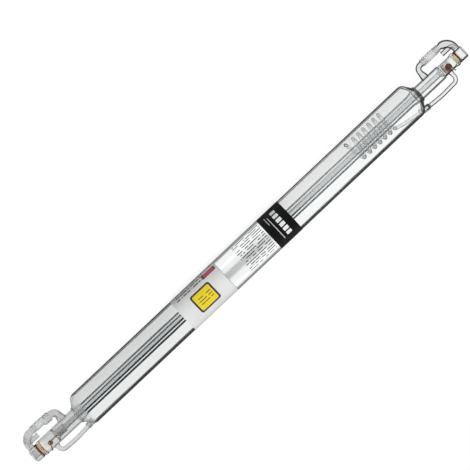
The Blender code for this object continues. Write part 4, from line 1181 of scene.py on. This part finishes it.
# %% Cap elbows
for end in ENDS:
    corners = [
        (HOSE_END - SPIGOT_GRIP, HOSE_OFFSET),
        (CAP_LEG, HOSE_OFFSET),
        (CAP_LEG, end.cap_r - EMBED),
    ]
    path = filled(rounded(in_plane(end, corners), [0, CAP_ELBOW_BEND, 0], fineness=4.0), 1.0)
    length = travelled(path)[-1]
    narrow_from = length - EMBED - 2 * CAP_ELBOW_R

    def outer(d, narrow_from=narrow_from):
        wide = eased(d, SPIGOT_GRIP + GAP, CAP_ELBOW_R, CAP_SPIGOT_R, CAP_ELBOW_R)
        return wide - eased(d, narrow_from, 2 * CAP_ELBOW_R, 0.0, CAP_ELBOW_R - CAP_ELBOW_FOOT_R)

    rings = carried(path, walled(length, outer, SPIGOT_WALL), 64, SIDEWAYS)
    rings = seated(rings, HOSE_SIDE, end.cap_r, 5.0)
    skin(f"{end.name}_cap_bend", rings, end.arm_glass, [f"{end.name}_cap_elbow"])

# %% Nozzles with their dip tubes
for end in ENDS:
    corners = [(NOZZLE_MOUTH, NOZZLE_OFFSET), (CAP_LEG, NOZZLE_OFFSET), (CAP_LEG, NOZZLE_DIP)]
    path = filled(rounded(in_plane(end, corners), [0, NOZZLE_BEND, 0], fineness=6.0), 0.8)
    taper_from = NOZZLE_ROOT - DIP_R - NOZZLE_MOUTH

    def outer(d, taper_from=taper_from):
        return eased(d, taper_from, DIP_R, NOZZLE_R, DIP_R)

    profile = walled(travelled(path)[-1], outer, NOZZLE_R - NOZZLE_BORE_R)
    rings = carried(path, profile, 48, SIDEWAYS)
    skin(f"{end.name}_hose_nozzle", rings, end.arm_glass, [f"{end.name}_nozzle"])

# %% [markdown]
# ## Silicone hoses
# The hoses are short lengths of milky silicone, pushed over both elbows and a little wider at the
# larger one. Silicone lets light in but scatters it, so it is mostly see-through with a pale tone,
# greyer edge on, and fine lines run along it from the die that it was pressed through.

# %% Silicone
SILICONE_SHADOW = grey(0.8)


def make_silicone(name):
    """Soft, milky, see-through rubber with extrusion lines along it."""
    material, tree = new_material(name)
    lines = streaks(tree, 0.02, 14.0, 3.0)
    tone = mixed(tree, ease(tree, lines, 0.3, 0.7), (0.975, 0.98, 0.98), (0.90, 0.905, 0.91))
    shader = node(tree, "ShaderNodeBsdfPrincipled", {
        "Base Color": mixed(tree, ease(tree, turned_away(tree), 0.5, 0.95), tone, (0.60, 0.61, 0.615)),
        "Roughness": ease(tree, lines, 0.2, 0.8, 0.22, 0.36),
        "IOR": 1.41,
        "Transmission Weight": 0.8,
        "Normal": bumped(tree, lines, 0.2, 0.0003),
    })
    finished(tree, clear_to_lamps(tree, shader, SILICONE_SHADOW))
    return material


silicone = make_silicone("milky silicone")
print("rubber:", silicone.name)

# %% Hoses
for end in ENDS:
    x = np.linspace(HOSE_START, HOSE_END, 60)
    z = eased(x, HOSE_START + SPIGOT_GRIP + GAP, HOSE_SWELL, grip_height(end), HOSE_OFFSET)
    path = in_plane(end, np.stack([x, z], axis=1))

    def outer(d, near_r=end.spigot_r + GAP + HOSE_WALL):
        return eased(d, SPIGOT_GRIP + GAP, HOSE_SWELL, near_r, HOSE_R)

    rings = carried(path, walled(travelled(path)[-1], outer, HOSE_WALL), 72, SIDEWAYS)
    skin(f"{end.name}_silicone_hose", rings, silicone, [f"{end.name}_hose"])

# %% [markdown]
# ## Gas arms and the return spiral
# Gas that moves to one end of the discharge flows back through the reservoir. A bent arm joins each
# head to a boss in the shoulder, and at the rear it goes on inside as a long coil, so that the
# discharge can't take the short way through it.

# %% Gas arms
def boss_line(end, x):
    """Places on the boss's sloping middle line, at the given distances from the middle."""
    x = np.asarray(x, float)
    z = BOSS_DROP - end.arm_offset - (x - end.seam) * BOSS_SLOPE
    return in_plane(end, np.stack([x, z], axis=1))


for end in ENDS:
    z = -end.arm_offset
    middle = (end.seam + end.arm - ARM_BEND) / 2
    start = boss_line(end, [end.seam - ARM_GRIP, end.seam + BOSS_OUTSIDE + ARM_WALL])
    rest = in_plane(end, [(middle, z - ARM_BOW), (end.arm, z), (end.arm, -(end.head_r - EMBED))])
    corners = np.concatenate([start, rest])
    path = filled(rounded(corners, [0, 30.0, 120.0, ARM_BEND, 0], fineness=5.0), 1.0)
    length = travelled(path)[-1]

    def outer(d, end=end, length=length):
        return end.arm_r + eased(d, length - EMBED - 4.0, 4.0, 0.0, ARM_ROOT_FLARE)

    rings = carried(path, walled(length, outer, ARM_WALL), 56, SIDEWAYS)
    rings = seated(rings, ARM_SIDE, end.head_r, 5.0)
    skin(f"{end.name}_bent_arm", rings, end.arm_glass, [f"{end.name}_gas_arm"])

# %% Bosses, where the arms go through the shoulders
for end in ENDS:
    path = filled(boss_line(end, [end.seam - end.boss_inside, end.seam + BOSS_OUTSIDE]), 1.0)
    outer_r = end.arm_r + GAP + BOSS_WALL
    profile = walled(travelled(path)[-1], lambda d: outer_r, BOSS_WALL)
    rings = carried(path, profile, 56, SIDEWAYS)
    skin(f"{end.name}_boss", rings, body_glass, ["reservoir_tube"])

# %% The coil and the tube that leads into it
SPIRAL_R = 18.6
SPIRAL_TUBE_R = 3.2
SPIRAL_TUBE_WALL = 1.0
SPIRAL_PITCH = 11.7
SPIRAL_TURNS = 6.5
SPIRAL_START = REAR.seam - 66.4
SPIRAL_RISE = 2.6
SPIRAL_LEAD = 26.0
SPIRAL_DRAW = 5.0
SPIRAL_POINTS = 48  # to a turn

turn = np.linspace(0.0, SPIRAL_TURNS, round(SPIRAL_TURNS * SPIRAL_POINTS) + 1)
angle = 2.0 * math.pi * turn - math.pi / 2
drawn = SPIRAL_DRAW * np.clip(turn - SPIRAL_TURNS + 1.0, 0.0, None) ** 2
coil = np.stack(
    [
        SPIRAL_START - SPIRAL_PITCH * turn - drawn,
        SPIRAL_R * np.cos(angle),
        SPIRAL_RISE + SPIRAL_R * np.sin(angle),
    ],
    axis=1,
)
lead = boss_line(REAR, [REAR.seam - ARM_GRIP - GAP, SPIRAL_START + SPIRAL_LEAD])
u = np.linspace(0.0, 1.0, 25)[1:-1, None]
leaving = unit(lead[1] - lead[0]) * SPIRAL_LEAD
arriving = unit(coil[1] - coil[0]) * SPIRAL_LEAD
bridge = (
    lead[1] * (2 * u ** 3 - 3 * u ** 2 + 1)
    + leaving * (u ** 3 - 2 * u ** 2 + u)
    + coil[0] * (3 * u ** 2 - 2 * u ** 3)
    + arriving * (u ** 3 - u ** 2)
)
path = np.concatenate([filled(lead, 2.0), bridge, coil])
run = travelled(path)


def coil_outer(d):
    """The radius at a distance: the arm's where the coil is joined to it, then the coil's own."""
    return eased(d, 2.0, 6.0, REAR.arm_r, SPIRAL_TUBE_R)


profile = walled(run[-1], coil_outer, SPIRAL_TUBE_WALL, step=1.6)
place = np.stack([np.interp(profile[:, 0], run, path[:, j]) for j in range(3)], axis=1)
away_from_beam = place * [0.0, 1.0, 1.0] + [0.0, 0.0, -0.01]
rings = carried(path, profile, 24, away_from_beam)
skin("return_coil", rings, coil_glass, ["gas_return_spiral"])
print(f"the coil's tube is {run[-1]:.0f} mm long")

# %% [markdown]
# ## Electrodes, wires and seals
# Each electrode is a sheet of nickel rolled into a cylinder. Its wire is welded to it, leaves the head
# through a bead of sealing glass and is bent over outside, where a supply is clipped on.

# %% Electrodes
ELECTRODE_WALL = 0.5
ELECTRODE_RIM = 0.15
CATHODE_START = RING_SEAL - CUP_LENGTH + GAP
CATHODE_LENGTH = 17.0
ANODE_START = RING_SEAL + 4.5
ANODE_LENGTH = 15.0
ANODE_R = 8.8
for end, piece, cad_name, start, length, outer_r, metal in (
    (OUTPUT, "cathode_sheet", "cathode_cylinder", CATHODE_START, CATHODE_LENGTH, CATHODE_R, nickel),
    (REAR, "anode_sheet", "anode_cylinder", ANODE_START, ANODE_LENGTH, ANODE_R, anode_metal),
):
    section = ring_section(start, start + length, outer_r - ELECTRODE_WALL, outer_r, ELECTRODE_RIM)
    lathed(piece, section, metal, [cad_name], end=end, sides=72)

# %% Beads of sealing glass and wires: their shapes
SEAL_TIP_R = 3.2
SEAL_HEIGHT = 5.0
SEAL_FOOT = 2.4
SEAL_ROUND = 1.4
SEAL_DROP = 0.4  # how far the tip is rounded off, as a share of its radius
SEAL_LIP = 0.15
SEAL_LIP_R = 0.45
WIRE_HOLE = 0.05
WIRE_STEP = 0.6
WIRE_UP = [0.55, 0.6, 0.58]  # any direction that no wire runs in


def rod(name, path, radius, sides, material, cad_name):
    """A round wire with rounded ends along the path.

    A rounded end is a quarter circle: its points lie r * (1 - cos a) in from the end, at r * sin a.
    """
    length = travelled(path)[-1]
    a = np.radians(np.linspace(0.0, 90.0, 6))
    first = np.stack([radius * (1.0 - np.cos(a)), radius * np.sin(a)], axis=1)
    middle = np.stack([np.arange(radius + WIRE_STEP, length - radius, WIRE_STEP)] * 2, axis=1)
    middle[:, 1] = radius
    last = first[::-1] * [-1.0, 1.0] + [length, 0.0]
    rings = carried(path, np.concatenate([first, middle, last]), sides, WIRE_UP)
    return skin(name, rings, material, [cad_name], loop=False)


def bead_profile(end, length):
    """The outer line of a bead from its foot to its tip, then back down along the wire's hole."""
    d = np.linspace(0.0, length, 28)
    outer = eased(d, EMBED, SEAL_FOOT, end.seal_r, SEAL_TIP_R)
    outer = outer - eased(d, length - SEAL_ROUND, SEAL_ROUND, 0.0, SEAL_TIP_R * SEAL_DROP)
    hole, top = LEAD_R + WIRE_HOLE, length + SEAL_LIP
    inner = [[top, SEAL_TIP_R * SEAL_LIP_R], [top, hole], [0.0, hole]]
    return np.concatenate([np.stack([d, outer], axis=1), inner])


print("a bead's profile:", bead_profile(REAR, SEAL_HEIGHT).shape[0], "points")

# %% Seals and their wires
SEAL_BEND = 3.0
WIRE_BEND = 2.2
WIRE_STANDOUT = 4.0
WIRE_TAIL = 11.0
WIRE_LEAN = 0.5
WELD = 0.7  # the wire ends this far along the cathode

for end, label in ((OUTPUT, "cathode"), (REAR, "anode")):
    beam = end.side * BEAM
    foot = beam * end.seal
    heights = [end.head_r - EMBED, end.head_r + SEAL_HEIGHT]
    path = filled(np.stack([foot + SEAL_SIDE * height for height in heights]), 0.5)
    profile = bead_profile(end, travelled(path)[-1])
    rings = seated(carried(path, profile, 48, BEAM), SEAL_SIDE, end.head_r, SEAL_BEND)
    skin(f"{label}_bead", rings, bead_glass, [f"{label}_seal"])

    bend = foot + SEAL_SIDE * (end.head_r + SEAL_HEIGHT + WIRE_STANDOUT)
    tip = bend + unit(ARM_SIDE + beam * WIRE_LEAN) * WIRE_TAIL
    if end is OUTPUT:
        inside = SEAL_SIDE * (CATHODE_R - ELECTRODE_WALL - GAP - LEAD_R)
        start = [beam * (CATHODE_START + CATHODE_LENGTH * WELD) + inside, foot + inside]
    else:
        start = [foot + SEAL_SIDE * (ANODE_R + GAP)]
    corners = np.array([*start, bend, tip])
    bends = [0.0] + [WIRE_BEND] * (len(corners) - 2) + [0.0]
    path = filled(rounded(corners, bends, fineness=8.0), 0.5)
    rod(f"{label}_wire", path, LEAD_R, 20, wire_metal, f"{label}_lead")

# %% [markdown]
# ## Labels
# Three bands are wrapped round the middle: white vinyl, bright foil and black vinyl. Their print is
# plain bars, rows and panels. It could be a picture laid on the band, but a print made of masks stays
# sharp at any distance. Each mask reads the place on the tube and mixes one ink into the band's
# own colour.

# %% A group for a printed panel
PRINT_BLUR = 0.12


def past_edge(tree, value, middle, half, corner):
    """How far a place lies past the straight part of a panel's side, and never below 0."""
    off = calc(tree, "ABSOLUTE", calc(tree, "SUBTRACT", value, middle))
    return calc(tree, "MAXIMUM", calc(tree, "SUBTRACT", off, calc(tree, "SUBTRACT", half, corner)), 0.0)


def make_panel_group():
    """1 where the root of dx^2 + dy^2 is below the corner's radius, with dx and dy past the edges."""
    names = ["Along", "Across", "Middle", "Height", "Half length", "Half width", "Corner"]
    tree, given, out = new_group("printed panel", dict.fromkeys(names, 0.0), ["Mask"])
    corner = given["Corner"]
    dx = past_edge(tree, given["Along"], given["Middle"], given["Half length"], corner)
    dy = past_edge(tree, given["Across"], given["Height"], given["Half width"], corner)
    squares = calc(tree, "ADD", calc(tree, "MULTIPLY", dx, dx), calc(tree, "MULTIPLY", dy, dy))
    over = calc(tree, "SUBTRACT", calc(tree, "SQRT", squares), corner)
    feed(tree, out["Mask"], ease(tree, over, PRINT_BLUR, -PRINT_BLUR))
    return tree


panel_group = make_panel_group()
print("group:", panel_group.name)

# %% A group for printed rows of marks
ROW_SHIFT = 7.3  # so that each row has noise of its own
WORD_GAPS = 0.44


def make_rows_group():
    """1 in rows at equal spacing, where noise along the row is above a limit and so makes words."""
    names = ["Along", "Across", "Middle", "Spacing", "Weight", "Word"]
    tree, given, out = new_group("printed rows", dict.fromkeys(names, 0.0), ["Mask"])
    off = calc(tree, "SUBTRACT", given["Across"], given["Middle"])
    row = calc(tree, "ADD", calc(tree, "DIVIDE", off, given["Spacing"]), 0.5)
    centred = calc(tree, "ABSOLUTE", calc(tree, "SUBTRACT", calc(tree, "FRACT", row), 0.5))
    line = calc(tree, "LESS_THAN", centred, calc(tree, "MULTIPLY", given["Weight"], 0.5))
    spot = node(tree, "ShaderNodeCombineXYZ", {
        0: calc(tree, "MULTIPLY", given["Along"], given["Word"]),
        1: calc(tree, "MULTIPLY", calc(tree, "FLOOR", row), ROW_SHIFT),
        2: 0.0,
    })
    words = calc(tree, "GREATER_THAN", noise(tree, spot.outputs[0], 1.0, 3.0), WORD_GAPS)
    feed(tree, out["Mask"], calc(tree, "MULTIPLY", line, words))
    return tree


rows_group = make_rows_group()
print("group:", rows_group.name)

# %% Prints: panels and rows, each in one colour
BAND_R = 32.08  # the bands are round, so they lie just inside the model's flat-sided ones
BAND_OUTER_R = 32.41


def panel_mask(tree, along, across, middle, height, half_length, half_width, corner):
    """The mask of a rounded panel on a band."""
    values = {
        "Along": along, "Across": across, "Middle": middle, "Height": height,
        "Half length": half_length, "Half width": half_width, "Corner": corner,
    }
    return used(tree, panel_group, values)["Mask"]


def rows_mask(tree, along, across, spacing, weight, word, area):
    """The mask of rows of printed marks inside one panel of the band."""
    values = {
        "Along": along, "Across": across, "Middle": area[1],
        "Spacing": spacing, "Weight": weight, "Word": word,
    }
    mask = used(tree, rows_group, values)["Mask"]
    return calc(tree, "MULTIPLY", mask, panel_mask(tree, along, across, *area))


def shape(colour, *area):
    """A plain panel: its middle along and round the band, its half sizes and its corners' radius."""
    return colour, lambda tree, along, across: panel_mask(tree, along, across, *area)


def lines(colour, spacing, weight, word, *area):
    """Rows of marks in such a panel: their spacing, their share of it, and how short the words are."""
    pattern = spacing, weight, word
    return colour, lambda tree, along, across: rows_mask(tree, along, across, *pattern, area)


print(f"a print's places are measured at radius {BAND_OUTER_R} mm")

# %% Vinyl and foil, with what is printed on them
def printed_band(name, paper, prints, rough, shine=0.5, metallic=0.0):
    """A band's material: its own stuff, then each print laid over it in turn."""
    material, tree = new_material(name)
    place = used(tree, place_group)
    along, across = place["Along"], calc(tree, "MULTIPLY", place["Around"], BAND_OUTER_R)
    cloud = noise(tree, place_in(tree), 30.0, 3.0)
    fine = noise(tree, place_in(tree), 900.0, 2.0)
    base = mixed(tree, ease(tree, cloud, 0.35, 0.7), paper, darker(paper, 0.93))
    ink = 0.0
    for colour, make_mask in prints:
        mask = make_mask(tree, along, across)
        base = mixed(tree, mask, base, colour)
        ink = calc(tree, "MAXIMUM", ink, mask)
    inputs = {
        "Base Color": base,
        "Roughness": ease(tree, fine, 0.2, 0.8, rough * 0.85, rough * 1.15),
        "Specular IOR Level": shine,
        "Normal": bumped(tree, fine, 0.05, 0.0002),
    }
    if metallic:
        inputs["Metallic"] = calc(tree, "SUBTRACT", metallic, ink, clamp=True)
    finished(tree, node(tree, "ShaderNodeBsdfPrincipled", inputs))
    return material


print("printed bands can be made")

# %% White, silver and black
white_vinyl = printed_band("white vinyl", (0.80, 0.81, 0.80), [
    lines((0.05, 0.05, 0.06), 6.8, 0.40, 0.22, -112.0, -32.5, 31.0, 9.0, 1.0),
    shape((0.01, 0.01, 0.015), -71.2, -27.0, 14.2, 4.6, 1.0),
    shape((0.80, 0.05, 0.09), -71.2, -27.0, 11.2, 2.7, 0.7),
    shape((0.70, 0.05, 0.08), -63.6, -42.0, 3.0, 2.6, 1.6),
    shape((0.02, 0.02, 0.03), -102.5, 3.5, 21.5, 18.5, 4.5),
    shape((0.85, 0.66, 0.01), -102.5, 3.5, 18.2, 15.2, 2.6),
    lines((0.10, 0.08, 0.02), 5.2, 0.30, 0.16, -102.5, 3.5, 15.0, 7.6, 0.6),
], 0.38)
silver_foil = printed_band("silver foil", (0.93, 0.94, 0.945), [
    lines((0.03, 0.03, 0.035), 4.6, 0.34, 0.12, 14.0, -2.0, 30.0, 31.0, 2.0),
], 0.20, metallic=1.0)
BLOCKS = 6
FIRST_BLOCK = -26.0
BLOCK_SPACING = 9.2
PRINT_GREY = grey(0.60)
black_vinyl = printed_band("black vinyl", (0.004, 0.004, 0.005), [
    *(
        shape((0.85, 0.86, 0.86), 75.5, FIRST_BLOCK + BLOCK_SPACING * i, 5.2, 3.3, 1.2)
        for i in range(BLOCKS)
    ),
    shape(PRINT_GREY, 63.0, 0.0, 0.7, 25.0, 0.5),
    shape(PRINT_GREY, 58.0, -20.0, 0.6, 9.0, 0.5),
], 0.20, shine=0.09)
print("bands:", white_vinyl.name, silver_foil.name, black_vinyl.name)

# %% The bands themselves
BANDS_START = -152.4
BAND_SPACING = 0.5
BAND_ROUND = 0.1
SLIT = math.radians(10.0)


def band(name, cad_name, start, width, material, slot):
    """A thin wrap round the reservoir whose ends nearly meet on the far side from the camera.

    Its section, a flat loop with rounded corners in (along, radius), is carried round the beam from
    one side of the slit to the other.
    """
    section = np.array(ring_section(start, start + width, BAND_R, BAND_OUTER_R, BAND_ROUND))
    loop = rounded(section[:, :2], section[:, 2], closed=True, fineness=30.0)
    angle = np.linspace(SLIT / 2, 2.0 * math.pi - SLIT / 2, 181) + math.pi / 2
    direction = np.stack([0.0 * angle, np.cos(angle), np.sin(angle)], axis=1)
    rings = direction[:, None] * loop[None, :, 1, None] + BEAM * loop[None, :, 0, None]
    piece = skin(name, rings, material, [cad_name], loop=False)
    bm = bmesh.new()
    bm.from_mesh(piece.data)
    bmesh.ops.holes_fill(bm, edges=bm.edges)
    bmesh.ops.recalc_face_normals(bm, faces=bm.faces)
    bm.to_mesh(piece.data)
    bm.free()
    piece.data.shade_smooth()
    piece.data.set_sharp_from_angle(angle=math.radians(40.0))
    return piece


start = BANDS_START
for name, cad_name, slot, width, material in (
    ("white_band", "white_label", "white_vinyl", 98.8, white_vinyl),
    ("foil_band", "silver_label", "silver_foil", 99.8, silver_foil),
    ("black_band", "black_label", "black_vinyl", 48.0, black_vinyl),
):
    band(name, cad_name, start, width, material, slot)
    start += width + BAND_SPACING
